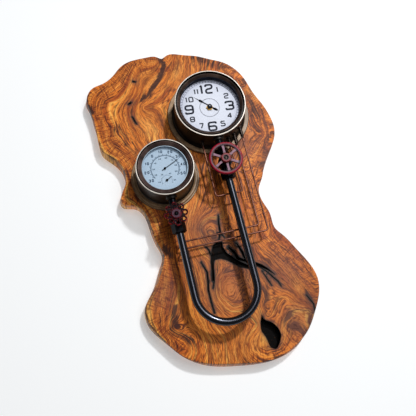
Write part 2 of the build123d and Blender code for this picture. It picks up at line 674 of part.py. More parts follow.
def battery():
    """A round cell lying across the bay, with its nub to the right."""
    cell = turned((0, 0), (BATTERY_R, 0, SMALL_EDGE), (BATTERY_R, BATTERY_LONG, SMALL_EDGE),
                  (BATTERY_NUB_R, BATTERY_LONG), (BATTERY_NUB_R, BATTERY_OVERALL), (0, BATTERY_OVERALL))
    lying = Pos(-BATTERY_OVERALL / 2, 0, 0) * Rot(0, 90, 0) * cell
    return Pos(0, -BATTERY_DOWN, MOVEMENT_BACK + BATTERY_SINK - BATTERY_R - RUN) * lying


def battery_contacts():
    """The two bent contact strips at the ends of the bay."""
    low = MOVEMENT_BACK + CONTACT_ROOM
    high = MOVEMENT_BACK + BATTERY_SINK - 2 * RUN
    middle = (low + high) / 2
    bow = CONTACT_BOW_HIGH / 2
    strips = []
    for side in (-1, 1):
        touch = side * (BATTERY_OVERALL / 2 + RUN)
        wall = side * (BAY_LONG / 2 - RUN)
        inner = wall - side * CONTACT_T
        root = touch + side * CONTACT_T
        plan = section((wall, low), (wall, high), (inner, high), (root, middle + bow), (touch, middle),
                       (root, middle - bow), (inner, low))
        strip = extrude(Plane.XZ * plan, amount=CONTACT_WIDE / 2, both=True)
        strips.append(Pos(0, -BATTERY_DOWN, 0) * strip)
    return Compound(strips)


def movement_bushing():
    low = CLOCK_CASE_FLOOR - BUSHING_ROOT
    top = CLOCK_DIAL_HIGH + BUSHING_ABOVE_DIAL
    hole = HOUR_TUBE_R + RUN
    return turned((hole, low), (BUSHING_R, low), (BUSHING_R, top, SMALL_EDGE), (hole, top))


def movement_nut():
    nut = hexagon(NUT_FLATS, CLOCK_DIAL_HIGH, CLOCK_DIAL_HIGH + NUT_T)
    return nut - rod(BUSHING_R + RUN, CLOCK_DIAL_HIGH - PAST, CLOCK_DIAL_HIGH + NUT_T + PAST)


def setting_knob():
    """The knob behind the movement that sets the hands, with a milled edge."""
    top = MOVEMENT_BACK - KNOB_OFF_CASE
    low = top - KNOB_T
    knob = rod(KNOB_R, low, top)
    knob -= around(KNOB_FLUTES, KNOB_R + KNOB_FLUTE_R / 3, rod(KNOB_FLUTE_R, low - PAST, top + PAST))
    knob += rod(KNOB_STEM_R, top, MOVEMENT_BACK + MINUTE_SHAFT_FLOOR)
    return Pos(0, KNOB_UP, 0) * knob


def hour_tube():
    low = CLOCK_CASE_FLOOR - BUSHING_ROOT - HOUR_TUBE_ROOT
    return tube(HOUR_TUBE_R, MINUTE_SHAFT_R + RUN, low, HOUR_HAND_LOW + HAND_T)


def minute_shaft():
    return rod(MINUTE_SHAFT_R, MOVEMENT_BACK + MINUTE_SHAFT_FLOOR, MINUTE_HAND_LOW + HAND_T)


def spade_hand(length, bulge, waist, shaft_r, eye, low):
    """A spade hand pointing up: an eye pressed on its shaft, a thin waist, a pear-shaped bulge, a point."""
    wide = HAND_BULGE_WIDE
    eye_r = shaft_r + eye
    waist_top = bulge - 3 * wide
    neck = bulge + 1.9 * wide
    blade = section(
        (-waist, eye_r / 2), (-waist, waist_top), (-wide, bulge, -0.8 * wide, bulge - 1.4 * wide),
        (-waist / 2, neck, -0.75 * wide, bulge + wide), (0, length), (waist / 2, neck),
        (wide, bulge, 0.75 * wide, bulge + wide), (waist, waist_top, 0.8 * wide, bulge - 1.4 * wide),
        (waist, eye_r / 2))
    hand = extrude(Pos(0, 0, low) * (Circle(eye_r) + blade), amount=HAND_T)
    return hand - rod(shaft_r, low - PAST, low + HAND_T + PAST)


def minute_hand():
    hand = spade_hand(MINUTE_HAND_LONG, MINUTE_HAND_BULGE, MINUTE_HAND_WAIST, MINUTE_SHAFT_R,
                      MINUTE_HAND_EYE, MINUTE_HAND_LOW)
    return Rot(0, 0, -MINUTE_HAND_AT) * hand


def hour_hand():
    hand = spade_hand(HOUR_HAND_LONG, HOUR_HAND_BULGE, HOUR_HAND_WAIST, HOUR_TUBE_R, HOUR_HAND_EYE,
                      HOUR_HAND_LOW)
    return Rot(0, 0, -HOUR_HAND_AT) * hand


def hand_cap():
    """The domed cap pressed over the end of the minute shaft."""
    low = MINUTE_HAND_LOW + HAND_T
    radius = MINUTE_SHAFT_R + CAP_OVER_SHAFT
    shoulder = low + CAP_HIGH / 3
    return turned((0, low), (radius, low), (radius, shoulder),
                  (radius / 2, low + 0.9 * CAP_HIGH, 0.85 * radius, low + 0.73 * CAP_HIGH),
                  (0, low + CAP_HIGH))


def gauge_housing():
    """The gauge's housing: a turned cup with a stepped, grooved flange and a spud for the pipe."""
    thick = GAUGE_FLANGE_T
    step_root = GAUGE_STEP_T - FLANGE_GROOVE_DEEP / 2
    cup = turned(
        (GAUGE_BORE_R, 0), (GAUGE_FLANGE_R, 0), (GAUGE_FLANGE_R, GAUGE_STEP_T, FLANGE_EDGE_R),
        (GAUGE_STEP_R + FLANGE_GROOVE_WIDE / 2, GAUGE_STEP_T), (GAUGE_STEP_R, step_root),
        (GAUGE_STEP_R, thick, FLANGE_EDGE_R),
        *flange_groove(GAUGE_RIM_R + GAUGE_COVE_WIDE + FLANGE_GROOVE_WIDE, thick)[:-1],
        *cove(GAUGE_RIM_R, thick, GAUGE_COVE_WIDE, GAUGE_COVE_HIGH),
        *housing_mouth(GAUGE_RIM_R, GAUGE_BORE_R, GAUGE_HIGH, GAUGE_LEDGE_R, GAUGE_LEDGE_TOP))
    spud, hole = pipe_boss(GAUGE_RIM_R, GAUGE_BORE_R)
    return cup + spud - hole - tapped_holes(GAUGE_SCREWS, thick)


def coil_end(half_turns):
    """How far from the arbor, to the right or left, the anchor post of a coil stands."""
    reach = COIL_START_R + half_turns // 2 * COIL_GAP
    side = 1 if half_turns % 2 == 0 else -1
    return side * (reach + COIL_STRIP_T / 2 + ANCHOR_R)


def gauge_case():
    """The pan of the gauge: a step under the dial, and a bearing post and an anchor post for each pointer."""
    outer = GAUGE_CASE_R
    inner = outer - CASE_WALL
    seat = inner - GAUGE_SEAT_WIDE
    floor = GAUGE_FLOOR
    low = floor - CASE_WALL
    top = GAUGE_LENS_HIGH
    brim = GAUGE_BORE_R - DROP_IN
    pan = turned(
        (0, low), (outer, low, CASE_CORNER_R), (outer, top - CASE_WALL), (brim, top - CASE_WALL), (brim, top),
        (inner, top), (inner, GAUGE_DIAL_UNDER), (seat, GAUGE_DIAL_UNDER), (seat, floor), (0, floor))
    for down, half_turns in ((0, TEMPERATURE_COIL_HALF_TURNS), (HUMIDITY_DOWN, HUMIDITY_COIL_HALF_TURNS)):
        post = rod(POST_R, floor - CASE_WALL / 2, floor + POST_HIGH)
        anchor = rod(ANCHOR_R, floor - CASE_WALL / 2, COIL_LOW + COIL_STRIP_WIDE)
        bearing = rod(ARBOR_R + RUN, floor + ARBOR_BLIND - 2 * RUN, floor + POST_HIGH + PAST)
        pan += Pos(0, -down, 0) * post
        pan += Pos(coil_end(half_turns), -down, 0) * anchor
        pan -= Pos(0, -down, 0) * bearing
    return pan


def coil(half_turns):
    """A flat spiral strip of half circles, each half a gap larger than the one before it."""
    path = []
    for i in range(half_turns):
        centre = i % 2 * COIL_GAP / 2
        path.append(CenterArc((centre, 0), COIL_START_R + i * COIL_GAP / 2, i % 2 * 180, 180))
    start = Plane((COIL_START_R, 0, 0), x_dir=(1, 0, 0), z_dir=(0, 1, 0))
    spiral = sweep(start * Rectangle(COIL_STRIP_T, COIL_STRIP_WIDE), path=Wire(path))
    return Pos(0, 0, COIL_LOW + COIL_STRIP_WIDE / 2) * spiral


def gauge_dial():
    dial = rod(GAUGE_CASE_R - CASE_WALL - DROP_IN, GAUGE_DIAL_UNDER, GAUGE_DIAL_HIGH)
    hole = rod(ARBOR_R + RUN, GAUGE_DIAL_UNDER - PAST, GAUGE_DIAL_HIGH + PAST)
    return dial - hole - Pos(0, -HUMIDITY_DOWN, 0) * hole


def gauge_inner_ring():
    """The bright spacer between dial and lens."""
    outer = GAUGE_CASE_R - CASE_WALL - DROP_IN
    inner = outer - SPACER_WIDE
    return turned((outer, GAUGE_DIAL_HIGH), (outer, GAUGE_LENS_HIGH), (inner, GAUGE_LENS_HIGH),
                  (inner + SPACER_LEAN, GAUGE_DIAL_HIGH))


def gauge_lens():
    return rod(GAUGE_CASE_R, GAUGE_LENS_HIGH, GAUGE_LENS_HIGH + GAUGE_LENS_T)


def gauge_bezel():
    """The wide sloped ring round the gauge's lens, with a narrow land inside it."""
    low = GAUGE_LENS_HIGH
    lens_top = low + GAUGE_LENS_T
    land = lens_top + GAUGE_BEZEL_LAND
    brim = GAUGE_BORE_R - DROP_IN
    hole = GAUGE_CASE_R + DROP_IN
    outer = brim - GAUGE_BEZEL_GROOVE
    nose = GAUGE_APERTURE_R + GAUGE_BEZEL_STEP
    return turned(
        (hole, low), (brim, low), (brim, low + GAUGE_BEZEL_LIP_T), (outer, low + GAUGE_BEZEL_LIP_T),
        (outer - BEZEL_LEAN, GAUGE_HIGH - GAUGE_BEZEL_CREST_DOWN, BEZEL_CREST_R),
        (nose, land + GAUGE_BEZEL_LAND), (nose, land), (GAUGE_APERTURE_R, land), (GAUGE_APERTURE_R, lens_top),
        (hole, lens_top))


def gauge_arbor():
    return rod(ARBOR_R, GAUGE_FLOOR + ARBOR_BLIND, POINTER_LOW + POINTER_T)


def gauge_pointer(length, tail, wide, at):
    """A straight pointer with a round boss over its arbor and a short tail."""
    taper = POINTER_TAPER_FROM * length
    boss_r = ARBOR_R + POINTER_BOSS_WALL
    blade = section((-wide / 2, -tail), (-wide / 2, taper), (0, length), (wide / 2, taper), (wide / 2, -tail))
    pointer = extrude(Pos(0, 0, POINTER_LOW) * (Circle(2 * ARBOR_R) + blade), amount=POINTER_T)
    pointer += rod(boss_r, POINTER_LOW, POINTER_LOW + POINTER_T + POINTER_BOSS_HIGH)
    return Rot(0, 0, -at) * (pointer - rod(ARBOR_R, POINTER_LOW - PAST, POINTER_LOW + POINTER_T))


def u_pipe():
    """The bent tube: two straight legs and a half-round bend, at one height off the board."""
    right_top = LARGE_VALVE_Z - LARGE_VALVE_DOWN + SOCKET_DEEP
    left_top = SMALL_VALVE_Z - SMALL_VALVE_DOWN + SOCKET_DEEP
    path = Wire([
        Line((0, right_top), (0, BEND_Z)),
        ThreePointArc((0, BEND_Z), (GAUGE_X / 2, BEND_Z - BEND_R), (GAUGE_X, BEND_Z)),
        Line((GAUGE_X, BEND_Z), (GAUGE_X, left_top)),
    ])
    ring = Circle(PIPE_R) - Circle(PIPE_R - PIPE_WALL)
    start = Plane((0, right_top, 0), x_dir=(1, 0, 0), z_dir=(0, -1, 0))
    return Pos(0, 0, PIPE_HIGH) * sweep(start * ring, path=path)


def valve_body(up, down):
    """The cast body: a turned barrel with a hexagon at each end, a bowl under the bonnet and a waterway."""
    low = VALVE_HEX_LONG - down
    high = up - VALVE_HEX_LONG
    land = VALVE_LAND_LONG
    waist = VALVE_BARREL_R - VALVE_WAIST_IN
    body = along_pipe(turned(
        (0, low), (VALVE_BARREL_R, low), (VALVE_BARREL_R, low + land),
        (waist, low + land + VALVE_WAIST_IN), (waist, high - land - VALVE_WAIST_IN),
        (VALVE_BARREL_R, high - land), (VALVE_BARREL_R, high), (0, high)))
    body += along_pipe(hexagon(VALVE_FLATS, -down, low))
    body += along_pipe(hexagon(VALVE_FLATS, high, up))
    body += turned((0, -VALVE_BOWL_DEEP), (VALVE_BOWL_R, -VALVE_BOWL_DEEP, VALVE_BOWL_CORNER_R),
                   (VALVE_BOWL_R, VALVE_BOWL_TOP), (0, VALVE_BOWL_TOP))
    body -= along_pipe(rod(WATERWAY_R, -down - PAST, up + PAST))
    body -= along_pipe(rod(PIPE_R + RUN, -down - PAST, SOCKET_DEEP - down))
    body -= along_pipe(rod(PIPE_R + RUN, up - SOCKET_DEEP, up + PAST))
    return body - rod(PLUG_R + RUN, PLUG_FOOT - PLUG_SEAT_GAP, VALVE_BOWL_TOP + PAST)


def valve_bonnet():
    """The hexagon bonnet with its neck, hollow for the plug and the spindle's collar."""
    base = VALVE_BOWL_TOP
    shelf = base + BONNET_T
    bonnet = hexagon(BONNET_FLATS, base, shelf) + rod(BONNET_NECK_R, shelf, BONNET_TOP)
    bonnet -= rod(PLUG_R + RUN, base - PAST, base + BONNET_HOLLOW)
    bonnet -= rod(COLLAR_R + RUN, base, COLLAR_LOW + COLLAR_T + RUN)
    return bonnet - rod(SPINDLE_R + RUN, base, BONNET_TOP + PAST)


def packing_nut():
    """The small nut round the spindle, its corners cut back by a cone."""
    low = BONNET_TOP
    top = low + PACKING_T
    cone = turned((0, low), (PACKING_FLATS, low), (PACKING_FLATS, low + PACKING_T / 2),
                  (PACKING_FLATS / 2, top), (0, top))
    return (hexagon(PACKING_FLATS, low, top) & cone) - rod(SPINDLE_R + RUN, low - PAST, top + PAST)


def spindle(foot, collar):
    """The valve's spindle: round where it runs, square in the wheel's hub, tapped at its end."""
    square_low = HUB_LOW + HUB_SEAT_DEEP
    square_top = HUB_TOP - HUB_RECESS_DEEP - 2 * RUN
    stem = rod(SPINDLE_R, foot, square_low) + block(SPINDLE_SQUARE, SPINDLE_SQUARE, square_low, square_top)
    if collar:
        stem += rod(COLLAR_R, COLLAR_LOW, COLLAR_LOW + COLLAR_T)
    return stem - rod(WHEEL_SCREW_R + RUN, square_top - WHEEL_SCREW_LONG - SMALL_EDGE, square_top + PAST)


def plug(hole_foot):
    """The piston that closes the waterway, with a blind hole for the spindle's end."""
    top = PLUG_FOOT + PLUG_LONG
    body = turned((0, PLUG_FOOT), (PLUG_R, PLUG_FOOT, EDGE_R), (PLUG_R, top), (0, top))
    return body - rod(SPINDLE_R + RUN, hole_foot, top + PAST)


def wheel_hub():
    return turned((0, HUB_LOW), (HUB_R, HUB_LOW, HUB_EDGE_R), (HUB_R, HUB_TOP, HUB_EDGE_R), (0, HUB_TOP))


def bore_hub(wheel):
    """Cuts the seat for the spindle's round part, the square hole and the screw's recess."""
    square = SPINDLE_SQUARE + 2 * RUN
    wheel -= rod(SPINDLE_R + RUN, HUB_LOW - PAST, HUB_LOW + HUB_SEAT_DEEP)
    wheel -= block(square, square, HUB_LOW, HUB_TOP)
    return wheel - rod(HUB_RECESS_R, HUB_TOP - HUB_RECESS_DEEP, HUB_TOP + PAST)


def large_handwheel():
    """A round rim on six waisted spokes."""
    ring_r = LARGE_WHEEL_R - LARGE_WHEEL_RIM_R
    root = HUB_R - HUB_EDGE_R
    waist_at = (root + ring_r) / 2
    wheel = Pos(0, 0, WHEEL_PLANE) * Torus(ring_r, LARGE_WHEEL_RIM_R) + wheel_hub()
    spoke = section((root, -SPOKE_WIDE_AT_HUB / 2),
                    (ring_r, -SPOKE_WIDE_AT_RIM / 2, waist_at, -SPOKE_WAIST / 2),
                    (ring_r, SPOKE_WIDE_AT_RIM / 2),
                    (root, SPOKE_WIDE_AT_HUB / 2, waist_at, SPOKE_WAIST / 2))
    spoke = extrude(Pos(0, 0, WHEEL_PLANE - SPOKE_T / 2) * spoke, amount=SPOKE_T)
    wheel += around(LARGE_WHEEL_SPOKES, 0, spoke, 90)
    return bore_hub(wheel)


def small_handwheel():
    """A disc with eight round lobes, each with a window, and a raised hub."""
    low = WHEEL_PLANE - SMALL_WHEEL_T / 2
    high = WHEEL_PLANE + SMALL_WHEEL_T / 2
    ring_r = SMALL_WHEEL_R - LOBE_R
    window_r = ring_r - LOBE_WINDOW_IN
    wheel = rod(ring_r, low, high)
    wheel += around(SMALL_WHEEL_LOBES, ring_r, rod(LOBE_R, low, high))
    wheel -= around(SMALL_WHEEL_LOBES, window_r, rod(LOBE_WINDOW_R, low - PAST, high + PAST))
    groove_r = window_r - LOBE_WINDOW_R - SMALL_WHEEL_LAND
    groove = tube(groove_r, HUB_R - PAST, high - SMALL_WHEEL_GROOVE_DEEP, high + PAST)
    return bore_hub(wheel - groove + wheel_hub())


def wheel_screw():
    """The slotted screw that holds a handwheel on its spindle."""
    low = HUB_TOP - HUB_RECESS_DEEP
    foot = low - WHEEL_SCREW_LONG
    top = low + WHEEL_SCREW_HEAD_T
    head_r = WHEEL_SCREW_HEAD_R
    crown = low + 0.8 * WHEEL_SCREW_HEAD_T
    screw = turned((0, foot), (WHEEL_SCREW_R, foot), (WHEEL_SCREW_R, low), (head_r, low),
                   (head_r, low + WHEEL_SCREW_RIM_T), (0, top, 0.6 * head_r, crown))
    return screw - block(WHEEL_SLOT_WIDE, 2 * head_r, top - WHEEL_SLOT_DEEP, top + PAST)


def union_nut(down):
    """The nut that ties the bent tube to the valve's lower end, coned towards the tube."""
    low = -down - UNION_LONG
    wide = VALVE_FLATS
    cone = turned((0, low), (PIPE_R + UNION_NOSE_WALL, low), (0.6 * wide, low + UNION_SLOPE_LONG),
                  (0.6 * wide, -down), (0, -down))
    nut = (hexagon(VALVE_FLATS, low, -down) & cone) - rod(PIPE_R + RUN, low - PAST, PAST - down)
    return along_pipe(nut)


def nipple(up, wall_away):
    """The short pipe from the valve's upper socket into the housing's spud."""
    top = wall_away - BOSS_FLOOR - PIPE_END_GAP
    return along_pipe(tube(PIPE_R, PIPE_R - PIPE_WALL, up - SOCKET_DEEP, top))


def valve(name, up, down, wall_away, wheel, rising):
    """Every piece of one valve by name, about the crossing of its spindle and the pipe. In a rising valve
    the spindle moves with its plug, and in the other the plug climbs the spindle."""
    into_plug = RISING_SPINDLE_IN_PLUG if rising else FIXED_SPINDLE_IN_PLUG
    foot = PLUG_FOOT + PLUG_LONG - into_plug
    hole_foot = foot - PIPE_END_GAP - (0 if rising else LARGE_PLUG_TRAVEL + SMALL_EDGE)
    return {
        f"{name}_nipple": nipple(up, wall_away),
        f"{name}_valve_body": valve_body(up, down),
        f"{name}_bonnet": valve_bonnet(),
        f"{name}_packing_nut": packing_nut(),
        f"{name}_spindle": spindle(foot, not rising),
        f"{name}_plug": plug(hole_foot),
        f"{name}_handwheel": wheel,
        f"{name}_wheel_screw": wheel_screw(),
        f"{name}_union_nut": union_nut(down),
    }


def wire(*points):
    """A stiff copper wire through points, with each corner bent to the same radius."""
    path = FilletPolyline(*points, radius=WIRE_BEND_R)
    start = Plane(path @ 0, z_dir=path % 0)
    return sweep(start * Circle(WIRE_R), path=path)


def entry_z(x):
    """Where a wire ends inside the clock housing's wall."""
    return clock_wall_z(x, CLOCK_RIM_R - CLOCK_WALL / 2)


def bent_wire(x, z):
    """A wire from the clock down, across behind the pipe's left leg and into the board."""
    past = GAUGE_X - WIRE_PAST_LEG
    return wire((x, entry_z(x), WIRE_HIGH), (x, z, WIRE_HIGH), (past, z, WIRE_HIGH), (past, z, -WIRE_IN_WOOD))


def short_wire():
    left = SHORT_WIRE_LEFT_X
    right = SHORT_WIRE_RIGHT_X
    return wire((left, entry_z(left), WIRE_HIGH), (left, SHORT_WIRE_Z, WIRE_HIGH),
                (right, SHORT_WIRE_Z, WIRE_HIGH), (right, entry_z(right), WIRE_HIGH))


def wire_ferrules():
    """The tapered sleeves where the wires leave the clock housing, cut to sit against its round wall."""
    wall = rod(CLOCK_RIM_R + RUN, 0, CLOCK_HIGH)
    hole = WIRE_R + RUN
    sleeves = []
    for x, long in FERRULES:
        collar = long - FERRULE_COLLAR_LONG
        end = long + FERRULE_ROOT
        sleeve = turned((hole, 0), (FERRULE_TIP_R, 0), (FERRULE_R, FERRULE_TAPER), (FERRULE_R, collar),
                        (FERRULE_COLLAR_R, collar), (FERRULE_COLLAR_R, end), (hole, end))
        tip = clock_wall_z(x, CLOCK_RIM_R) - long
        sleeves.append(Pos(x, tip, WIRE_HIGH) * along_pipe(sleeve) - wall)
    return Compound(sleeves)


def save(name, shape):
    shape.label = name
    export_step(shape, f"parts/{name}.step")


def main():
    os.makedirs("parts", exist_ok=True)
    board = on_board(0, 0)
    clock = on_board(0, 0, CLOCK_TURN)
    gauge_seat = on_board(GAUGE_X, GAUGE_Z)
    gauge = on_board(GAUGE_X, GAUGE_Z, GAUGE_TURN)
    humidity = gauge * Pos(0, -HUMIDITY_DOWN, 0)
    back = Location((0, 0, 0), (90, 0, 0))
    temperature_hand = gauge_pointer(TEMPERATURE_HAND_LONG, TEMPERATURE_HAND_TAIL, TEMPERATURE_HAND_WIDE,
                                     TEMPERATURE_HAND_AT)
    humidity_hand = gauge_pointer(HUMIDITY_HAND_LONG, HUMIDITY_HAND_TAIL, HUMIDITY_HAND_WIDE,
                                  HUMIDITY_HAND_AT)
    placed = [
        (board, {"wood_board": wood_board(), "clock_housing": clock_housing(),
                 "u_pipe": u_pipe(),
                 "clock_housing_screws": housing_screws(CLOCK_SCREWS, CLOCK_FLANGE_T),
                 "copper_wire_outer": bent_wire(WIRE_OUTER_X, WIRE_OUTER_Z),
                 "copper_wire_inner": bent_wire(WIRE_INNER_X, WIRE_INNER_Z),
                 "copper_wire_short": short_wire(), "wire_ferrules": wire_ferrules()}),
        (back, {"hanger_plate": hanger_plate(), "hanger_screws": hanger_screws()}),
        (clock, {"clock_case": clock_case(), "clock_dial": clock_dial(),
                 "clock_inner_ring": clock_inner_ring(),
                 "clock_glass": clock_glass(), "clock_bezel": clock_bezel(),
                 "movement_case": movement_case(),
                 "movement_bushing": movement_bushing(), "movement_nut": movement_nut(),
                 "battery": battery(), "battery_contacts": battery_contacts(), "setting_knob": setting_knob(),
                 "hour_tube": hour_tube(), "minute_shaft": minute_shaft(), "hand_cap": hand_cap(),
                 "hour_hand": hour_hand(), "minute_hand": minute_hand()}),
        (gauge_seat, {"gauge_housing": gauge_housing(),
                      "gauge_housing_screws": housing_screws(GAUGE_SCREWS, GAUGE_FLANGE_T)}),
        (gauge, {"gauge_case": gauge_case(), "gauge_dial": gauge_dial(),
                 "gauge_inner_ring": gauge_inner_ring(), "gauge_lens": gauge_lens(),
                 "gauge_bezel": gauge_bezel(), "temperature_arbor": gauge_arbor(),
                 "temperature_coil": coil(TEMPERATURE_COIL_HALF_TURNS),
                 "temperature_hand": temperature_hand}),
        (humidity, {"humidity_arbor": gauge_arbor(), "humidity_coil": coil(HUMIDITY_COIL_HALF_TURNS),
                    "humidity_hand": humidity_hand}),
        (on_board(0, LARGE_VALVE_Z) * Pos(0, 0, PIPE_HIGH),
         valve("large", LARGE_VALVE_UP, LARGE_VALVE_DOWN, -LARGE_VALVE_Z - CLOCK_BORE_R,
               large_handwheel(), False)),
        (on_board(GAUGE_X, SMALL_VALVE_Z) * Pos(0, 0, PIPE_HIGH),
         valve("small", SMALL_VALVE_UP, SMALL_VALVE_DOWN, GAUGE_Z - SMALL_VALVE_Z - GAUGE_BORE_R,
               small_handwheel(), True)),
    ]
    for place, pieces in placed:
        for name, shape in pieces.items():
            save(name, place * shape)


main()
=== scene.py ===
import json
import math

import bmesh
import bpy
import numpy as np
from bpy.props import FloatProperty, FloatVectorProperty, PointerProperty
from mathutils import Matrix, Vector

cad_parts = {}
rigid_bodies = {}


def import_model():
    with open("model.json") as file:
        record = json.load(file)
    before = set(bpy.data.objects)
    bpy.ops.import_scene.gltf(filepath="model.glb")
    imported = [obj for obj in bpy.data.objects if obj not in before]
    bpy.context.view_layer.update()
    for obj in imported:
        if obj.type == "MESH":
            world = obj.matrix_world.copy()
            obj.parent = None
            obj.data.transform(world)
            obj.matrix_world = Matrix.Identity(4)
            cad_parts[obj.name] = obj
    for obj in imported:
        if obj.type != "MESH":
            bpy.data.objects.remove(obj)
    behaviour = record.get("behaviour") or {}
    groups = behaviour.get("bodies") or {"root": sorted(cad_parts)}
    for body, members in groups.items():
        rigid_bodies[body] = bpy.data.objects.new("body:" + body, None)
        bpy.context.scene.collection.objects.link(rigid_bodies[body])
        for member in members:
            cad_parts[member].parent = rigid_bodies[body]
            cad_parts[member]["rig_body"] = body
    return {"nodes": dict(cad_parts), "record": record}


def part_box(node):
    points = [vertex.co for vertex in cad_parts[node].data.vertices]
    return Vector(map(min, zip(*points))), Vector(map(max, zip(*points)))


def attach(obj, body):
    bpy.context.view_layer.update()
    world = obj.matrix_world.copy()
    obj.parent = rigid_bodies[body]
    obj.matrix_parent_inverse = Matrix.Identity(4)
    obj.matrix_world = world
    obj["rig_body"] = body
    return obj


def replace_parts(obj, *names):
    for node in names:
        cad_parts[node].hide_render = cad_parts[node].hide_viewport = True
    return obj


bl_info = {
    "name": "Weather station wall clock",
    "version": (1, 0, 0),
    "blender": (4, 5, 0),
    "location": "View3D > Sidebar > Weather clock",
    "description": "Dresses a live-edge wall board with its clock, thermometer, valves, pipe and wires",
    "category": "Add Mesh",
}

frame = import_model()
NODES = frame["nodes"]
SLOTS = {part["node"]: part["material_slot"] for part in frame["record"]["subparts"]}
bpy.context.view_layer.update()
BOARD = "wall_board"
WHITE = "#FFFFFF"

# Places on the board, from the clock's centre, in millimetres: x right, z up the board, high off its front
CLOCK_X = 44.0
CLOCK_Z = -100.0
BOARD_T = 24.0
GAUGE_X = -100.4
GAUGE_Z = -96.9
HUMIDITY_DOWN = 20.5
CLOCK_DIAL_HIGH = 36.0
GAUGE_DIAL_HIGH = 47.8
LARGE_WHEEL_Z = -105.5
SMALL_WHEEL_Z = -179.4
# How far each dial is turned on the board, in degrees
CLOCK_TURN = 5.2
GAUGE_TURN = 3.0
# The bands of colour on a handwheel are given out to this radius
BANDS_TO = 30.0
# Resin lies on faces between these depths, outside the clock's opening and off the bark, in millimetres
RESIN_DEPTHS = (0.05, 15.6)
OPENING_R = 39.0
BARK_WIDE = 5.0
# Within this radius of the clock's axis its hands keep the shape of the solids, in metres
HAND_HUB_R = 0.0027

# Clock print, in metres. Figures have a width and a stroke, and 12 has a height and width of its own
LARGE_FIGURE = (0.0163, 0.0034)
SMALL_FIGURE = (0.0088, 0.0021)
TWELVE_HIGH = 0.0190
TWELVE_WIDE = 0.0146
# The gap between two figures, as a share of their width
HOUR_GAP = 0.22
# Rings have a radius and a width, marks the radii that they run between
TRACK_RINGS = ((0.0478, 0.0004), (0.0512, 0.0004))
CENTRE_RINGS = ((0.0173, 0.0005), (0.0164, 0.0003))
MINUTE_MARK = (0.0482, 0.0509)
MINUTE_WIDE = 0.0008
FIVE_MINUTE_WIDE = 0.0014

# Gauge print, in metres and in degrees clockwise from the top
ARC = (0.0228, 0.0007)
DEGREE_MARK_FROM = 0.0230
DEGREE_TURN = 2.97
HUMIDITY_MARK_FROM = 0.0080
# Each row of numbers: what they say, the angles of the first and between two, and their radius, height, width
# and stroke
OUTER_ROW = ((30, 20, 10, 0, 10, 20, 30, 40, 50), -124, 29.7, 0.0305, 0.0052, 0.0034, 0.0013)
INNER_ROW = ((20, 30, 40, 50, 60, 70, 80, 90), -118, 33.0, 0.0188, 0.0026, 0.0017, 0.0007)
HUMIDITY_ROW = ((20, 40, 60, 80), -96, 64, 0.0128, 0.0024, 0.0015, 0.0006)

# The camera as it was solved from the circles in the photograph: metres, degrees and millimetres
CAMERA_AT = (-0.10732, -0.88215, -0.47706)
CAMERA_TURN = (104.1164, 13.7904, -3.8857)
CAMERA_LENS = 44.826
CAMERA_SENSOR = 36.0
# The key lamp stands this way from the clock's middle and this far off. Lamps have a width and a height
MIDDLE = Vector((0.01, -0.03, -0.25))
KEY_WAY = (0.44, -1.0, 0.47)
KEY_FAR = 3.5
KEY_SIZE = (0.22, 0.22)
FILL_SIZE = (0.56, 0.8)
FILL_AT = (0.42, -1.3, -0.1)
FILL_AIM = (0.02, 0.0, -0.28)

BOARD_OUTLINE = [
    (-206, 68), (-202, 88), (-192, 98), (-174, 103), (-160, 109), (-147, 119), (-135, 130), (-120, 137),
    (-84, 140), (-65, 137), (-57, 132), (-48, 136), (-18, 132), (6, 125), (31, 113), (53, 102), (72, 84),
    (84, 62), (93, 30), (103, 6), (111, -22), (113, -41), (108, -63), (92, -87), (75, -112), (65, -134),
    (55, -150), (55, -175), (62, -200), (63, -224), (74, -241), (88, -266), (104, -297), (111, -326),
    (107, -347), (90, -378), (71, -403), (53, -417), (32, -428), (-4, -435), (-53, -428), (-105, -415),
    (-138, -396), (-160, -368), (-180, -334), (-182, -310), (-160, -280), (-140, -249), (-133, -230),
    (-140, -205), (-144, -170), (-150, -147), (-165, -134), (-182, -126), (-182, -115), (-170, -93),
    (-167, -72), (-178, -45), (-197, -25), (-201, 5), (-202, 40),
]
BIG_CRACK = [
    (-49, -232), (-42, -228), (-32, -229), (-33, -238), (-29, -249), (-14, -266), (-2, -275), (7, -280),
    (15, -276), (24, -282), (32, -290), (41, -303), (30, -292), (14, -282), (5, -286), (-13, -277),
    (-32, -261), (-41, -256), (-51, -256), (-54, -259), (-57, -272), (-61, -290), (-65, -289), (-61, -271),
    (-59, -258), (-55, -245),
]
KNOT = [
    (2, -363), (4, -370), (14, -377), (22, -388), (24, -400), (18, -412), (10, -419), (3, -415), (0, -400),
    (-5, -387), (-3, -373),
]
# Each narrow crack: its widest, its depth, and the points along it
CRACKS = [
    (2.6, 4.0, [(-75, -254), (-72, -264), (-69, -273), (-71, -288), (-74, -302), (-74, -319), (-73, -341)]),
    (3.0, 4.0, [(-27, -182), (-30, -198), (-31, -212), (-37, -226)]),
    (1.8, 3.0, [(17, -283), (28, -294), (35, -304), (43, -315), (46, -324)]),
    (2.2, 3.0, [(-61, -231), (-57, -238), (-56, -250)]),
    (6.0, 5.0, [(-24, -240), (-17, -250), (-13, -262), (-4, -268), (5, -273)]),
    (5.0, 5.0, [(-9, -236), (-3, -254), (0, -274)]),
    (1.4, 2.0, [(21, -292), (26, -306), (31, -320)]),
    (2.0, 2.5, [(-57, -272), (-61, -290), (-66, -302)]),
    (2.4, 2.5, [(-37, -212), (-31, -213), (-26, -223)]),
    (3.2, 2.5, [(-118, 96), (-116, 95), (-113, 94)]),
    (3.6, 2.5, [(-135, 53), (-132, 54), (-129, 56)]),
    (2.6, 2.0, [(-133, 28), (-131, 20), (-128, 12)]),
    (1.6, 2.0, [(83, -348), (91, -365), (90, -376)]),
]
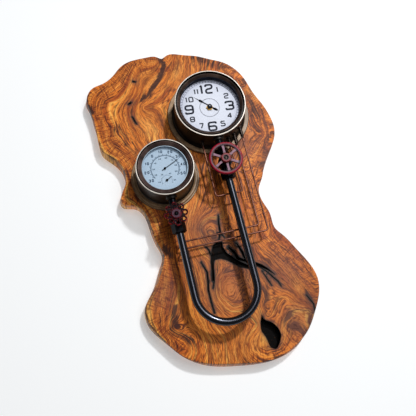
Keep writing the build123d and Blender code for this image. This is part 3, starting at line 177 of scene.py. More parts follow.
# Each dark streak of heartwood: half its width, how dark it is, and the points along it
STREAKS = [
    (4.2, 1.0, [(-59, 133), (-57, 116), (-62, 102), (-73, 88), (-85, 76), (-95, 65), (-110, 57)]),
    (9.0, 0.6, [(4, 120), (26, 108), (50, 92), (64, 74)]),
    (3.5, 1.0, [(-204, 60), (-199, 50)]),
    (5.0, 1.0, [(-135, -318), (-139, -346)]),
    (7.0, 0.6, [(-139, -346), (-152, -352), (-120, -374)]),
    (5.0, 1.0, [(-129, -219), (-122, -232)]),
    (11.0, 0.55, [(38, -374), (64, -408)]),
    (3.0, 0.8, [(83, -345), (91, -367), (90, -378)]),
    (4.0, 0.6, [(-37, -279), (-24, -277)]),
    (9.0, 0.6, [(-60, -200), (-56, -222), (-30, -224)]),
    (6.0, 0.5, [(-90, -235), (-96, -300), (-80, -350)]),
    (7.0, 0.5, [(10, -300), (20, -330), (8, -360)]),
    (6.0, 0.5, [(-8, -335), (-24, -352)]),
    (8.0, 0.5, [(-160, 10), (-150, -20), (-135, -48)]),
    (5.0, 0.6, [(-90, -60), (-112, -45)]),
    (9.0, 0.45, [(64, 40), (84, 8), (96, -20)]),
]
# Growth lines read off the board: how far each lies across the grain, in millimetres, and the points along it
GROWTH = [
    (0, [(-60, 134), (-120, 137), (-147, 119), (-174, 103), (-202, 88), (-206, 68), (-202, 40), (-201, 5),
         (-197, -25), (-178, -45), (-167, -72), (-170, -93), (-182, -120), (-165, -134), (-150, -147),
         (-144, -170), (-140, -205), (-133, -230), (-140, -249), (-160, -280), (-182, -310),
         (-180, -334), (-160, -368)]),
    (36, [(-103, 134), (-118, 107), (-131, 88), (-150, 72), (-175, 68), (-184, 50), (-179, 28), (-172, 17),
          (-179, -9), (-173, -22), (-157, -39)]),
    (44, [(-94, 135), (-106, 117), (-119, 91), (-133, 78), (-151, 65), (-166, 64), (-171, 52), (-170, 32),
          (-169, 17), (-175, -8)]),
    (80, [(-60, 131), (-60, 115), (-68, 100), (-77, 87), (-89, 73), (-102, 65), (-118, 50)]),
    (112, [(-19, 129), (-23, 100), (-41, 74), (-59, 53), (-79, 40), (-108, 39)]),
    (132, [(1, 123), (-5, 95)]),
    (205, [(53, 88), (69, 68), (83, 41)]),
    (232, [(86, 40), (94, 15), (103, -6), (105, -32), (102, -55), (91, -73), (68, -102), (56, -123)]),
    (212, [(59, -69), (87, -53)]),
    (250, [(55, -150), (55, -175), (62, -200), (63, -224), (74, -241), (88, -266), (104, -297), (111, -326)]),
    (226, [(29, -108), (33, -139), (31, -165)]),
    (180, [(-18, -98), (-18, -127), (-18, -154)]),
    (120, [(-70, -150), (-84, -190), (-89, -241), (-89, -270), (-89, -296), (-86, -322), (-76, -343)]),
    (50, [(-123, -228), (-123, -262), (-125, -287), (-135, -313), (-138, -336)]),
    (70, [(-141, -347), (-125, -356), (-113, -369), (-113, -394)]),
    (40, [(-155, -347), (-136, -365), (-130, -389)]),
    (112, [(-86, -361), (-76, -378), (-72, -389), (-76, -403)]),
    (150, [(-12, -374), (-31, -382), (-42, -396), (-48, -410)]),
    (166, [(-6, -388), (-22, -396), (-31, -414)]),
    (179, [(14, -373), (35, -390), (52, -411)]),
    (189, [(8, -363), (32, -366), (64, -370), (87, -376)]),
    (211, [(15, -273), (37, -303), (49, -329)]),
    (226, [(27, -234), (36, -250), (56, -283), (70, -314), (82, -343), (89, -370)]),
    (198, [(12, -350), (30, -347), (50, -342)]),
    (238, [(36, -233), (54, -261), (70, -291), (83, -317), (101, -347)]),
]
# Spots round which the grain turns, in millimetres: x, z, reach, and how far the grain is lifted
EYES = [
    (-56, -206, 29, 52), (-98, 96, 24, 14), (10, -392, 26, 24), (-46, -318, 28, 36), (-141, -343, 18, 16),
    (-20, -418, 22, 14),
]
WOOD_FIELDS = ("grain", "char", "heart_and_edge_shade", "dull", "smooth", "calm", "rim", "along")
# Spots where the wood shows few lines, and spots where it is duller and pinker: x, z and reach
SMOOTH = [(-84, 95, 20), (-36, 88, 24), (-95, 5, 26), (82, -345, 20), (-45, -405, 22), (85, 20, 18)]
DULL = [(-20, -300, 60), (45, -55, 40), (-60, -195, 32), (60, -385, 45), (60, -300, 45), (-150, -290, 35)]


def linear(code):
    """A hex colour as it is seen, turned to the linear numbers that shaders take. Linear numbers stay."""
    if not isinstance(code, str):
        return tuple(code)
    parts = [int(code[i:i + 2], 16) / 255 for i in (1, 3, 5)]
    return tuple(c / 12.92 if c <= 0.04045 else ((c + 0.055) / 1.055) ** 2.4 for c in parts) + (1.0,)


def spot(x, z, high):
    """A place in metres, from its x and z off the clock's centre and its height off the board's front."""
    return Vector(((x + CLOCK_X) / 1000, -(BOARD_T + high) / 1000, (z + CLOCK_Z) / 1000))


def is_socket(value):
    return isinstance(value, bpy.types.NodeSocket)


def feed(socket, value):
    """Joins a socket to another node's output, or gives it a value of its own."""
    if is_socket(value):
        socket.id_data.links.new(value, socket)
    else:
        socket.default_value = value


def add(tree, kind, inputs=None, **settings):
    """Adds a shader node with its settings, each input a value or another node's output."""
    node = tree.nodes.new("ShaderNode" + kind)
    for name, value in settings.items():
        setattr(node, name, value)
    for key, value in (inputs or {}).items():
        feed(node.inputs[key], value)
    return node


def add_beside(kind, inputs, **settings):
    """Adds a shader node to the tree that its inputs come from."""
    tree = next(value.id_data for value in inputs.values() if is_socket(value))
    return add(tree, kind, inputs, **settings)


def calc(operation, *values, clamp=False):
    return add_beside("Math", dict(enumerate(values)), operation=operation, use_clamp=clamp).outputs[0]


def less(value, other):
    return calc("SUBTRACT", value, other)


def times(value, other):
    return calc("MULTIPLY", value, other)


def times_plus(value, factor, more):
    return calc("MULTIPLY_ADD", value, factor, more)


def over(value, start, gain):
    """How far a value is over its start, times a gain, held between 0 and 1."""
    return calc("MULTIPLY", less(value, start), gain, clamp=True)


def vector_calc(operation, *values):
    node = add_beside("VectorMath", dict(enumerate(values)), operation=operation)
    return node.outputs["Value" if operation == "LENGTH" else "Vector"]


def apart(vector):
    """The three numbers of a vector, by X, Y and Z."""
    return add_beside("SeparateXYZ", {"Vector": vector}).outputs


def ramp(fac, *stops):
    """A colour ramp from (place, colour) stops."""
    node = add_beside("ValToRGB", {"Fac": fac})
    while len(node.color_ramp.elements) < len(stops):
        node.color_ramp.elements.new(0.5)
    for element, (place, code) in zip(node.color_ramp.elements, stops):
        element.position = place
        element.color = linear(code)
    return node.outputs["Color"]


def mix(fac, first, second, kind="MIX"):
    """Two colours mixed, each a hex colour or another node's output."""
    first, second = [value if is_socket(value) else linear(value) for value in (first, second)]
    node = add_beside("Mix", {0: fac, 6: first, 7: second}, data_type="RGBA", blend_type=kind)
    return node.outputs[2]


def noise(place, size, detail=2.0, roughness=0.5):
    """Noise whose blobs are about size millimetres across."""
    return add_beside("TexNoise", {
        "Vector": place, "Scale": 1.0 / size, "Detail": detail, "Roughness": roughness}).outputs["Fac"]


def stretched(place, factors):
    return add_beside("Mapping", {"Vector": place, "Scale": factors}).outputs["Vector"]


def bump(surface, height, strength, distance):
    """Relief on a finish, its distance in millimetres."""
    node = add_beside("Bump", {"Height": height, "Strength": strength, "Distance": distance / 1000})
    feed(surface.inputs["Normal"], node.outputs["Normal"])


def set_sockets(surface, **values):
    """Feeds the shader's own sockets, with underscores for spaces."""
    for name, value in values.items():
        feed(surface.inputs[name.replace("_", " ")], value)


def empty_finish(name):
    finish = bpy.data.materials.new(name)
    finish.use_nodes = True
    finish.node_tree.nodes.clear()
    return finish


def new_finish(name):
    """A material with its surface shader and the object's own coordinates in millimetres."""
    finish = empty_finish(name)
    tree = finish.node_tree
    surface = add(tree, "BsdfPrincipled")
    add(tree, "OutputMaterial", {"Surface": surface.outputs["BSDF"]})
    place = add(tree, "TexCoord").outputs["Object"]
    return finish, surface, vector_calc("MULTIPLY", place, (1000, 1000, 1000))


def centred(place, x, z):
    """Coordinates in millimetres about a head's axis."""
    return vector_calc("SUBTRACT", place, tuple(spot(x, z, 0) * 1000))


def seen_flat(place):
    """A place as it is seen from the front, without its height off the board."""
    parts = apart(place)
    return add_beside("CombineXYZ", {"X": parts["X"], "Z": parts["Z"]}).outputs["Vector"]


def radius_of(place):
    """How far a point is from a head's axis, in millimetres."""
    return vector_calc("LENGTH", seen_flat(place))


def colour_property(name, description, code):
    return FloatVectorProperty(name=name, description=description, subtype="COLOR", size=4, min=0.0, max=1.0,
                               default=linear(code))


def length_property(name, description, metres):
    return FloatProperty(name=name, description=description, default=metres, min=0.0, unit="LENGTH")


class FinishColours(bpy.types.PropertyGroup):
    wood: colour_property("Wood tint", "Tint laid over the wood", WHITE)
    dial: colour_property("Clock dial", "Ground of the clock's dial", "#DCE1EE")
    # The thermometer dial's blue tint is painted reflection from its glass, over a pale ground
    gauge: colour_property("Gauge dial", "Ground of the thermometer's dial", "#ACC2D6")
    numerals: colour_property("Numerals", "Ink of the clock's numerals", "#1C212D")
    pipe: colour_property("Pipe", "Lacquer of the bent pipe", "#060608")
    copper: colour_property("Wires", "Bright copper of the wires", "#8E6254")
    large_wheel: colour_property("Large wheel", "Enamel of the large handwheel", "#920C28")
    # The small wheel's colour also serves as the painted highlight on its sides
    small_wheel: colour_property("Small wheel", "Enamel of the small handwheel", "#A01018")


def olive_wood(tint):
    """Olive wood, planed, sanded and oiled: orange ground, dark growth lines that turn round the burrs, short
    rays by the bark, and a low oil shine."""
    finish, surface, place = new_finish("oiled_olive_wood_with_painted_edge_shade")
    grain, char, heart_and_edge_shade, dull, smooth, calm, rim, along = [
        add(finish.node_tree, "Attribute", attribute_name=name).outputs["Fac"] for name in WOOD_FIELDS]
    # The board is 24 mm thick: depth counts for little, so that the growth lines run over the edge
    through = stretched(place, (1.0, 0.4, 1.0))
    slow = less(noise(through, 46.0, 2.0), 0.5)
    middle = less(noise(through, 13.0, 3.0, 0.6), 0.5)
    fine = less(noise(through, 3.6, 2.0, 0.6), 0.5)
    waved = times_plus(slow, times_plus(calm, 15.0, 5.0), grain)
    waved = times_plus(middle, times_plus(calm, 5.0, 1.2), waved)
    waved = times_plus(fine, 0.7, waved)

    def along_grain(across, run, detail=1.0):
        """Noise drawn out along the growth lines, from its sizes across and along them."""
        lift = add_beside("CombineXYZ", {"Y": calc("DIVIDE", waved, across)}).outputs["Vector"]
        spread = vector_calc("ADD", stretched(through, (1 / run, 1 / run, 1 / run)), lift)
        return noise(spread, 1.0, detail, 0.55)

    broad = along_grain(22.0, 80.0)
    lines = along_grain(6.5, 240.0)
    fibres = along_grain(2.2, 50.0)
    mixed = times_plus(lines, 0.58, times(broad, 0.27))
    mixed = times_plus(fibres, 0.15, mixed)
    # Growth lines: thin and dark, with a pale one beside each, on a ground from brown to yellow
    colour = ramp(
        mixed, (0.34, "#9A4410"), (0.40, "#CC681C"), (0.420, "#551F07"), (0.440, "#DD7A21"),
        (0.470, "#EC852A"), (0.484, "#672A09"), (0.496, "#F38F32"), (0.525, "#E47C25"), (0.540, "#7E380C"),
        (0.553, "#FFA243"), (0.585, "#F39130"), (0.63, "#FFBA56"))
    # Fine dark lines that come in groups
    thin = over(0.032, calc("ABSOLUTE", less(along_grain(5.5, 170.0), 0.5)), 45.0)
    group = over(noise(through, 34.0, 1.0), 0.41, 7.0)
    colour = mix(times(times(thin, group), 0.9), colour, "#541E0C")
    even = ramp(broad, (0.36, "#B0601C"), (0.50, "#D9822E"), (0.64, "#F2AA54"))
    colour = mix(times(smooth, 0.75), colour, even)
    # Rays: short dark dashes across the growth lines beside the bark
    beside = add_beside("CombineXYZ", {"X": times_plus(middle, 5.0, along), "Y": times(rim, 0.13)})
    rays = ramp(noise(beside.outputs["Vector"], 2.4, 2.0, 0.6), (0.40, "#9A6A50"), (0.50, WHITE))
    colour = mix(times(over(40.0, rim, 0.1), 0.75), colour, rays, "MULTIPLY")
    # Dark heartwood, in named streaks and in smoky smears along the grain, and painted shade along the
    # board's edge
    smear = over(along_grain(9.0, 34.0, 3.0), 0.55, 6.0)
    drawn = calc("ADD", less(fibres, 0.5), less(lines, 0.5))
    streak = over(times_plus(drawn, 1.5, times_plus(middle, 0.8, heart_and_edge_shade)), 0.30, 2.4)
    colour = mix(calc("MAXIMUM", times(smear, 0.6), times(streak, 0.94)), colour, "#38140E")
    colour = mix(times(dull, 0.55), colour, "#7A4A3C")
    # Pores: short fine dashes along the grain
    pores = ramp(along_grain(1.1, 8.0), (0.38, "#7A4A2C"), (0.50, WHITE))
    colour = mix(0.5, colour, pores, "MULTIPLY")
    # Lavender-grey tint and then black beside the cracks
    colour = mix(times(calc("POWER", char, 2.0), 0.85), colour, "#44302E")
    colour = mix(over(char, 0.82, 7.0), colour, "#120B09")
    colour = mix(1.0, colour, tint, "MULTIPLY")
    set_sockets(surface, Base_Color=colour, Roughness=times_plus(fibres, 0.2, 0.42), IOR=1.45,
                Specular_IOR_Level=0.25)
    bump(surface, calc("ADD", fibres, mixed), 0.3, 0.2)
    return finish


def black_resin():
    """Black casting resin poured into the cracks and rubbed back: dark, uneven and glossy."""
    finish, surface, place = new_finish("poured_black_resin")
    lumps = noise(place, 5.0, 4.0, 0.6)
    set_sockets(surface, Base_Color=ramp(lumps, (0.3, "#030202"), (0.60, "#0A0605"), (0.72, "#321E10")),
                Roughness=times_plus(lumps, 0.5, 0.3), IOR=1.45, Specular_IOR_Level=0.06)
    bump(surface, lumps, 0.5, 0.8)
    return finish


def rubbed_bronze(name, x, z, rim_r, rim_high, foot_r, flange_r):
    """Sand-cast bronze turned on a lathe, blackened and rubbed back: dark sides, bright at rim and flange.
    The flange's tan is partly painted light, and the right of it painted shade.
    """
    finish, surface, place = new_finish(name)
    local = centred(place, x, z)
    radius = radius_of(local)
    high = times(apart(local)["Y"], -1.0)
    lathe = noise(stretched(local, (0.05, 2.5, 0.05)), 1.0, 3.0)
    mottle = noise(local, 9.0, 4.0, 0.6)
    side = ramp(mottle, (0.25, "#0A0604"), (0.55, "#160E08"), (0.80, "#2E2216"))
    # The flange's tan is rubbed bronze and partly painted light, lighter than it would show in the housing's
    # shadow
    flange = ramp(mottle, (0.25, "#8A6A48"), (0.55, "#AC8A66"), (0.80, "#CCA880"))
    rim = ramp(mottle, (0.25, "#B8AEA4"), (0.60, "#DAD2C8"), (0.85, "#F2ECE4"))
    on_flange = times(over(7.5, high, 1.2), over(radius, foot_r - 1.5, 0.7))
    # Painted shade: the right of the flange is darker than its left
    flange = mix(calc("MULTIPLY", apart(local)["X"], 0.010, clamp=True), flange, "#4A3A28")
    colour = mix(on_flange, side, flange)
    outer = over(radius, flange_r - 1.6, 1.4)
    colour = mix(times(on_flange, times(outer, 0.45)), colour, "#3A2C20")
    on_rim = times(over(high, rim_high - 0.95, 3.0), over(radius, rim_r - 1.9, 2.0))
    colour = mix(on_rim, colour, rim)
    colour = mix(0.35, colour, ramp(lathe, (0.3, "#9A9A9A"), (0.6, WHITE)), "MULTIPLY")
    set_sockets(surface, Base_Color=colour, Roughness=times_plus(lathe, 0.25, 0.30),
                Metallic=times_plus(on_flange, -0.35, 0.45))
    bump(surface, lathe, 0.15, 0.08)
    return finish


def brushed_ring(name, x, z, lacquer, inner, inner_colour, outer):
    """Steel ring, brushed outwards from its centre and lacquered brown: fine radial lines under a soft shine.
    Its inner edge has a colour of its own, and its outer edge is black."""
    finish, surface, place = new_finish(name)
    flat = seen_flat(centred(place, x, z))
    radius = vector_calc("LENGTH", flat)
    around = vector_calc("NORMALIZE", flat)
    # Brush lines 1 mm apart at 45 mm from the centre, coarser than real ones so that they show
    lines = noise(around, 0.022, 2.0, 0.6)
    colour = ramp(noise(around, 0.35, 1.0), *zip((0.30, 0.52, 0.72), lacquer))
    colour = mix(0.5, colour, ramp(lines, (0.3, "#8C8482"), (0.65, WHITE)), "MULTIPLY")
    colour = mix(over(inner, radius, 2.0), colour, inner_colour)
    colour = mix(over(radius, outer, 2.0), colour, "#060404")
    set_sockets(surface, Base_Color=colour, Roughness=times_plus(lines, 0.2, 0.35), Metallic=0.55)
    bump(surface, lines, 0.2, 0.05)
    return finish


def plain_finish(name, dark, light, size, metallic, low, high, relief=0.1, shine=0.5):
    """A finish with two close colours in soft blotches and an uneven shine."""
    finish, surface, place = new_finish(name)
    cloud = noise(place, size, 4.0, 0.6)
    set_sockets(surface, Base_Color=ramp(cloud, (0.3, dark), (0.7, light)),
                Roughness=times_plus(cloud, high - low, low), Metallic=metallic)
    if metallic < 0.5:
        # The shine of dark paint is a little blue
        set_sockets(surface, Specular_IOR_Level=shine, Specular_Tint=linear("#E4EAFF"))
    bump(surface, cloud, relief, 0.2)
    return finish


def worn_enamel(name, x, z, bands, sides, patches, shine, low):
    """Cast iron dipped in red enamel and handled for years. Seen from the front, bands about the wheel's
    axis are red where the coat holds and grey-pink where it is rubbed, the grey-pink partly painted sheen.
    Sides have a colour of their own, which is painted light. Each patch has a colour, the size of its spots
    in millimetres and how few they are."""
    finish, surface, place = new_finish(name)
    facing = apart(add(finish.node_tree, "NewGeometry").outputs["Normal"])["Y"]
    cloud = noise(place, 3.0, 4.0, 0.6)
    uneven = times_plus(less(cloud, 0.5), 2.0, radius_of(centred(place, x, z)))
    colour = ramp(calc("DIVIDE", uneven, BANDS_TO), *[(at / BANDS_TO, code) for at, code in bands])
    front = calc("MULTIPLY", times_plus(facing, -1.0, -0.45), 3.0, clamp=True)
    colour = mix(front, sides, colour)
    for patch, size, few in patches:
        colour = mix(times(over(noise(place, size, 2.0), few, 10.0), 0.8), colour, patch)
    set_sockets(surface, Base_Color=colour, Roughness=times_plus(cloud, 0.3, low), IOR=1.5,
                Specular_IOR_Level=shine)
    bump(surface, cloud, 0.3, 0.3)
    return finish


def printed_face(name, ground, edge, x, z, radius):
    """Aluminium disc with a matt print: an almost even ground that darkens slightly to its edge. On the dials
    that darkening is painted shade.
    """
    finish, surface, place = new_finish(name)
    rim = calc("POWER", calc("DIVIDE", radius_of(centred(place, x, z)), radius), 6.0)
    colour = mix(times(rim, 0.8), ground, edge)
    colour = mix(0.25, colour, ramp(noise(place, 1.6, 3.0), (0.3, "#DADADA"), (0.6, WHITE)), "MULTIPLY")
    set_sockets(surface, Base_Color=colour, Roughness=0.6, IOR=1.5)
    return finish


def clear_glass():
    """Float glass, cut, seamed and coated against glare: clear, with a faint shine over the dial."""
    finish, surface = new_finish("clear_float_glass")[:2]
    # Only the shine is drawn: the pane itself adds no colour over the dial. The coat leaves 0.3 of it
    shine = times(add(finish.node_tree, "Fresnel", {"IOR": 1.5}).outputs["Fac"], 0.3)
    set_sockets(surface, Alpha=shine, Base_Color=linear(WHITE), Metallic=1.0, Roughness=0.04)
    return finish


def make_finishes(colours):
    """Every finish by the record's slot or by the head it belongs to."""
    finishes = {
        "olive_wood": olive_wood(colours.wood),
        "black_resin": black_resin(),
        "clock_bronze": rubbed_bronze("rubbed_bronze_and_painted_light_of_clock", 0, 0, rim_r=61.0, rim_high=55.0, foot_r=66.0,
                                      flange_r=73.0),
        "gauge_bronze": rubbed_bronze("rubbed_bronze_and_painted_light_of_gauge", GAUGE_X, GAUGE_Z, rim_r=48.1, rim_high=58.8,
                                      foot_r=51.0, flange_r=59.0),
        "clock_bezel": brushed_ring(
            "brown_lacquered_ring_of_clock", 0, 0, ("#241812", "#44322A", "#5E4A40"), inner=51.6,
            inner_colour="#0A0C16", outer=55.8),
        "gauge_bezel": brushed_ring(
            "brown_lacquered_ring_of_gauge", GAUGE_X, GAUGE_Z, ("#302220", "#4C3834", "#62504A"), inner=38.2,
            inner_colour="#8A9CAA", outer=44.6),
        "white_dial": printed_face("printed_white_aluminium_with_painted_edge_shade", colours.dial, "#A8AEC6", 0, 0, radius=53.0),
        # The thermometer dial's blue is painted reflection, and its darker edge painted shade
        "blue_dial": printed_face("printed_aluminium_with_painted_blue_reflection", colours.gauge, "#8AA4BC", GAUGE_X, GAUGE_Z,
                                  radius=40.0),
        # Pressed black cap with a pale pip in its middle
        "capped_shaft": printed_face("pressed_black_cap", "#B0B4BC", "#050608", 0, 0, radius=1.0),
        "clear_glass": clear_glass(),
        # Large wheel: its dark sides are painted shade, and the grey-pink of its spokes is rubbed wear and
        # painted sheen
        "crimson_enamel": worn_enamel("worn_crimson_enamel_and_painted_light", 0, LARGE_WHEEL_Z, [
            (4.4, "#140406"), (5.2, "#78081A"), (8.8, "#700818"), (9.6, "#2A0A10"), (10.6, "#80566A"),
            (20.6, "#886074"), (22.0, "#241C22"), (23.6, "#6E5E68"), (25.0, "#6E0A20"),
            (26.2, colours.large_wheel)],
            "#4A0410", [("#2A0A10", 2.4, 0.60)], shine=0.25, low=0.25),
        # Small wheel: its red sides are painted highlights, and its red patches painted glints on the dark
        # enamel
        "oxblood_enamel": worn_enamel("worn_oxblood_enamel_and_painted_light", GAUGE_X, SMALL_WHEEL_Z, [
            (1.5, "#1A1014"), (2.3, "#64505E"), (3.2, "#1C1016"), (4.2, "#6C5666"), (5.0, "#241018"),
            (6.1, "#6A4A5A"), (6.9, "#180A10"), (7.8, "#58222E"), (9.0, "#120608"), (13.5, "#140608"),
            (18.3, "#22060A"), (19.4, colours.small_wheel)],
            colours.small_wheel, [("#7A0E16", 2.9, 0.56), ("#6A5260", 2.2, 0.62), ("#0A0406", 1.9, 0.58)],
            shine=0.10, low=0.05),
    }
    # The rest: name, dark and light colour, size of the blotches, how metallic it is, the least and the most
    # roughness, and where they differ from the usual ones its relief and its shine
    plain = {
        "dull_brass": ("browned_brass", "#7A5C28", "#A88440", 2.5, 1.0, 0.35, 0.5),
        # Dull zinc plate: grey with pale and dark crystals
        "zinc_steel": ("zinc_plated_steel", "#8C8E92", "#B8BABE", 3.0, 0.9, 0.3, 0.5),
        # Baked black paint on pressed steel: near black with a satin shine
        "black_steel": ("baked_black_steel", "#0A0C18", "#161A2A", 8.0, 0.0, 0.7, 0.8, 0.1, 0.06),
        # Polished aluminium ring: pale and bright
        "bright_ring": ("polished_aluminium", "#B8C0C8", "#DCE2E8", 5.0, 0.9, 0.2, 0.35),
        # Moulded ABS: even black with fine texture
        "black_plastic": ("moulded_black_abs", "#101010", "#1A1A1A", 0.8, 0.0, 0.45, 0.6),
        # Moulded acetal: even grey
        "grey_plastic": ("moulded_grey_acetal", "#808080", "#9A9A9A", 2.0, 0.0, 0.4, 0.5),
        # Turned brass: yellow with faint rings
        "plain_brass": ("turned_brass", "#A8843C", "#D2AC5C", 2.5, 1.0, 0.25, 0.4),
        # Shrunk plastic sleeve: dark and glossy
        "battery_sleeve": ("shrunk_dark_sleeve", "#161A22", "#242A36", 6.0, 0.0, 0.2, 0.3),
        # Stamped aluminium, painted black
        "black_hands": ("painted_black_aluminium", "#040508", "#0A0C10", 3.0, 0.0, 0.6, 0.7, 0.1, 0.08),
        # Drawn steel tube in gloss black lacquer: black with sharp pale lines of light
        "black_pipe": ("gloss_black_lacquered_tube", "#030304", colours.pipe, 12.0, 0.0, 0.17, 0.23, 0.0,
                       0.72),
        # Drawn copper wire, browned by air: dark pink with dull brown lengths
        "copper_wire": ("drawn_browned_copper", "#502C24", colours.copper, 16.0, 1.0, 0.42, 0.50, 0.0),
        # Nickel on turned brass, dulled dark
        "nickel_ferrule": ("nickel_plated_ferrule", "#1E1A18", "#3E3632", 4.0, 1.0, 0.4, 0.5),
        # Cast iron with black japan: black, lumpy, half gloss
        "black_casting": ("japanned_cast_iron", "#030304", "#08080A", 3.0, 0.0, 0.22, 0.42, 0.4, 0.06),
        # Turned mild steel: grey with an oily sheen
        "valve_steel": ("turned_mild_steel", "#2A2422", "#4C423E", 3.0, 0.9, 0.4, 0.5),
        # Screen-printed inks: flat and dark
        "dark_ink": ("printed_dark_ink", "#141822", colours.numerals, 2.0, 0.0, 0.5, 0.6, 0.0, 0.2),
        "grey_ink": ("printed_grey_ink", "#545664", "#626472", 2.0, 0.0, 0.5, 0.6, 0.0, 0.2),
        "blue_ink": ("printed_slate_ink", "#384C60", "#465C72", 2.0, 0.0, 0.5, 0.6, 0.0, 0.2),
    }
    finishes.update({slot: plain_finish(*row) for slot, row in plain.items()})
    return finishes


FINISH = {}


def new_object(name, mesh):
    """Puts a bmesh whose points are already in place into the scene as an object."""
    data = bpy.data.meshes.new(name)
    mesh.to_mesh(data)
    mesh.free()
    made = bpy.data.objects.new(name, data)
    bpy.context.scene.collection.objects.link(made)
    return made


def dress(obj, *names):
    """Gives a piece its finishes in order."""
    obj.data.materials.clear()
    for name in names:
        obj.data.materials.append(FINISH[name])


def mesh_piece(name, mesh, body, slot, *finishes):
    """Puts a bmesh into the scene as a named piece on a body. Its slot is not used."""
    piece = new_object(name, mesh)
    dress(piece, *finishes)
    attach(piece, body)
    return piece


def merged_copy(node):
    """A bmesh of a CAD node with its loose triangles joined up."""
    mesh = bmesh.new()
    mesh.from_mesh(NODES[node].data)
    bmesh.ops.remove_doubles(mesh, verts=mesh.verts, dist=1e-6)
    return mesh


def smooth_by_angle(mesh, degrees):
    """Shades faces smooth and marks edges sharper than an angle."""
    for face in mesh.faces:
        face.smooth = True
    for edge in mesh.edges:
        edge.smooth = len(edge.link_faces) == 2 and edge.calc_face_angle(0.0) < math.radians(degrees)


def face_frame(x, z, high, turn):
    """The place of a dial: local X to the right, local Y up, local Z at the viewer, in metres."""
    return (Matrix.Translation(spot(x, z, high)) @ Matrix.Rotation(math.radians(turn), 4, "Y")
            @ Matrix.Rotation(math.radians(90), 4, "X"))


def nearest_on(places, line):
    """The least distance from each place to a line of points, and how far along the line that point lies."""
    best = np.full(len(places), 1e9)
    run_at = np.zeros(len(places))
    run = 0.0
    for a, b in zip(line, line[1:]):
        start = np.array(a, float)
        step = np.array(b, float) - start
        length = math.hypot(*step)
        share = np.clip((places - start) @ step / length ** 2, 0.0, 1.0)
        away = np.linalg.norm(places - start - share[:, None] * step, axis=1)
        run_at = np.where(away < best, run + share * length, run_at)
        best = np.minimum(best, away)
        run += length
    return best, run_at


def distances(places, line):
    return nearest_on(places, line)[0]


def crack_cutter(widest, deep, points):
    """A wedge along a crack, wide in its middle and thin at its ends, standing up through the front."""
    mesh = bmesh.new()
    rows = []
    last = len(points) - 1
    for i, (x, z) in enumerate(points):
        here = Vector((x, z))
        along = (Vector(points[min(i + 1, last)]) - Vector(points[max(i - 1, 0)])).normalized()
        across = Vector((-along.y, along.x))
        share = min(max(i / last, 0.04), 0.96)
        half = widest / 2 * (0.25 + 0.75 * math.sin(math.pi * share))
        left, right = here + across * half, here - across * half
        rows.append([mesh.verts.new(spot(left.x, left.y, 1)), mesh.verts.new(spot(x, z, -deep)),
                     mesh.verts.new(spot(right.x, right.y, 1))])
    for one, two in zip(rows, rows[1:]):
        bmesh.ops.bridge_loops(mesh, edges=[
            mesh.edges.get((row[a], row[b])) or mesh.edges.new((row[a], row[b]))
            for row in (one, two) for a, b in ((0, 1), (1, 2), (2, 0))])
    bmesh.ops.holes_fill(mesh, edges=[e for e in mesh.edges if e.is_boundary])
    bmesh.ops.recalc_face_normals(mesh, faces=mesh.faces)
    return mesh


def grain_at(places):
    """How far each place lies across the grain, in millimetres, and how far it is from a growth line read off
    the board. The value is worked out on a grid: the growth lines keep theirs, and every other point of the
    grid takes the mean of its neighbours again and again, so that the lines between run smoothly."""
    step = 4.0
    across = np.arange(-220.0, 128.0, step)
    up = np.arange(-448.0, 156.0, step)
    grid = np.array([(x, z) for z in up for x in across])
    total = np.zeros(len(grid))
    weights = np.zeros(len(grid))
    held = np.zeros(len(grid), bool)
    kept = np.zeros(len(grid))
    nearest = np.full(len(places), 1e9)
    for value, points in GROWTH:
        away = distances(grid, points)
        weight = 1 / (away + 3.0) ** 2.5
        total += weight * value
        weights += weight
        on_line = away < 0.6 * step
        kept = np.where(on_line, value, kept)
        held |= on_line
        nearest = np.minimum(nearest, distances(places, points))
    held, kept, field = [numbers.reshape(len(up), len(across)) for numbers in (held, kept, total / weights)]
    for _ in range(500):
        wide = np.pad(field, 1, "edge")
        mean = (wide[:-2, 1:-1] + wide[2:, 1:-1] + wide[1:-1, :-2] + wide[1:-1, 2:]) / 4
        field = np.where(held, kept, mean)
    column = (places[:, 0] - across[0]) / step
    row = (places[:, 1] - up[0]) / step
    left = column.astype(int)
    low = row.astype(int)
    column -= left
    row -= low
    value = ((field[low, left] * (1 - column) + field[low, left + 1] * column) * (1 - row)
             + (field[low + 1, left] * (1 - column) + field[low + 1, left + 1] * column) * row)
    for x, z, reach, lift in EYES:
        value += lift * np.exp(-(np.hypot(places[:, 0] - x, (places[:, 1] - z) * 0.72) / reach) ** 2)
    return value, nearest


def cut_cracks(board, context):
    """The board with every narrow crack cut into it, as a bmesh."""
    cutters = []
    for i, crack in enumerate(CRACKS):
        cutters.append(new_object(f"cutter_{i}", crack_cutter(*crack)))
        cut = board.modifiers.new("crack", "BOOLEAN")
        cut.operation = "DIFFERENCE"
        cut.solver = "EXACT"
        cut.object = cutters[-1]
    context.view_layer.update()
    data = bpy.data.meshes.new_from_object(board.evaluated_get(context.evaluated_depsgraph_get()))
    board.modifiers.clear()
    for cutter in cutters:
        bpy.data.objects.remove(cutter)
    mesh = bmesh.new()
    mesh.from_mesh(data)
    return mesh


def cut_grid(mesh, step):
    """Cuts the board into squares as it is seen from the front, so that its points can carry the grain."""
    low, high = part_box("wood_board")
    for axis, normal in ((0, (1, 0, 0)), (2, (0, 0, 1))):
        for i in range(1, int((high[axis] - low[axis]) / step)):
            at = Vector()
            at[axis] = low[axis] + i * step
            bmesh.ops.bisect_plane(mesh, geom=mesh.verts[:] + mesh.edges[:] + mesh.faces[:], dist=1e-7,
                                   plane_co=at, plane_no=normal)


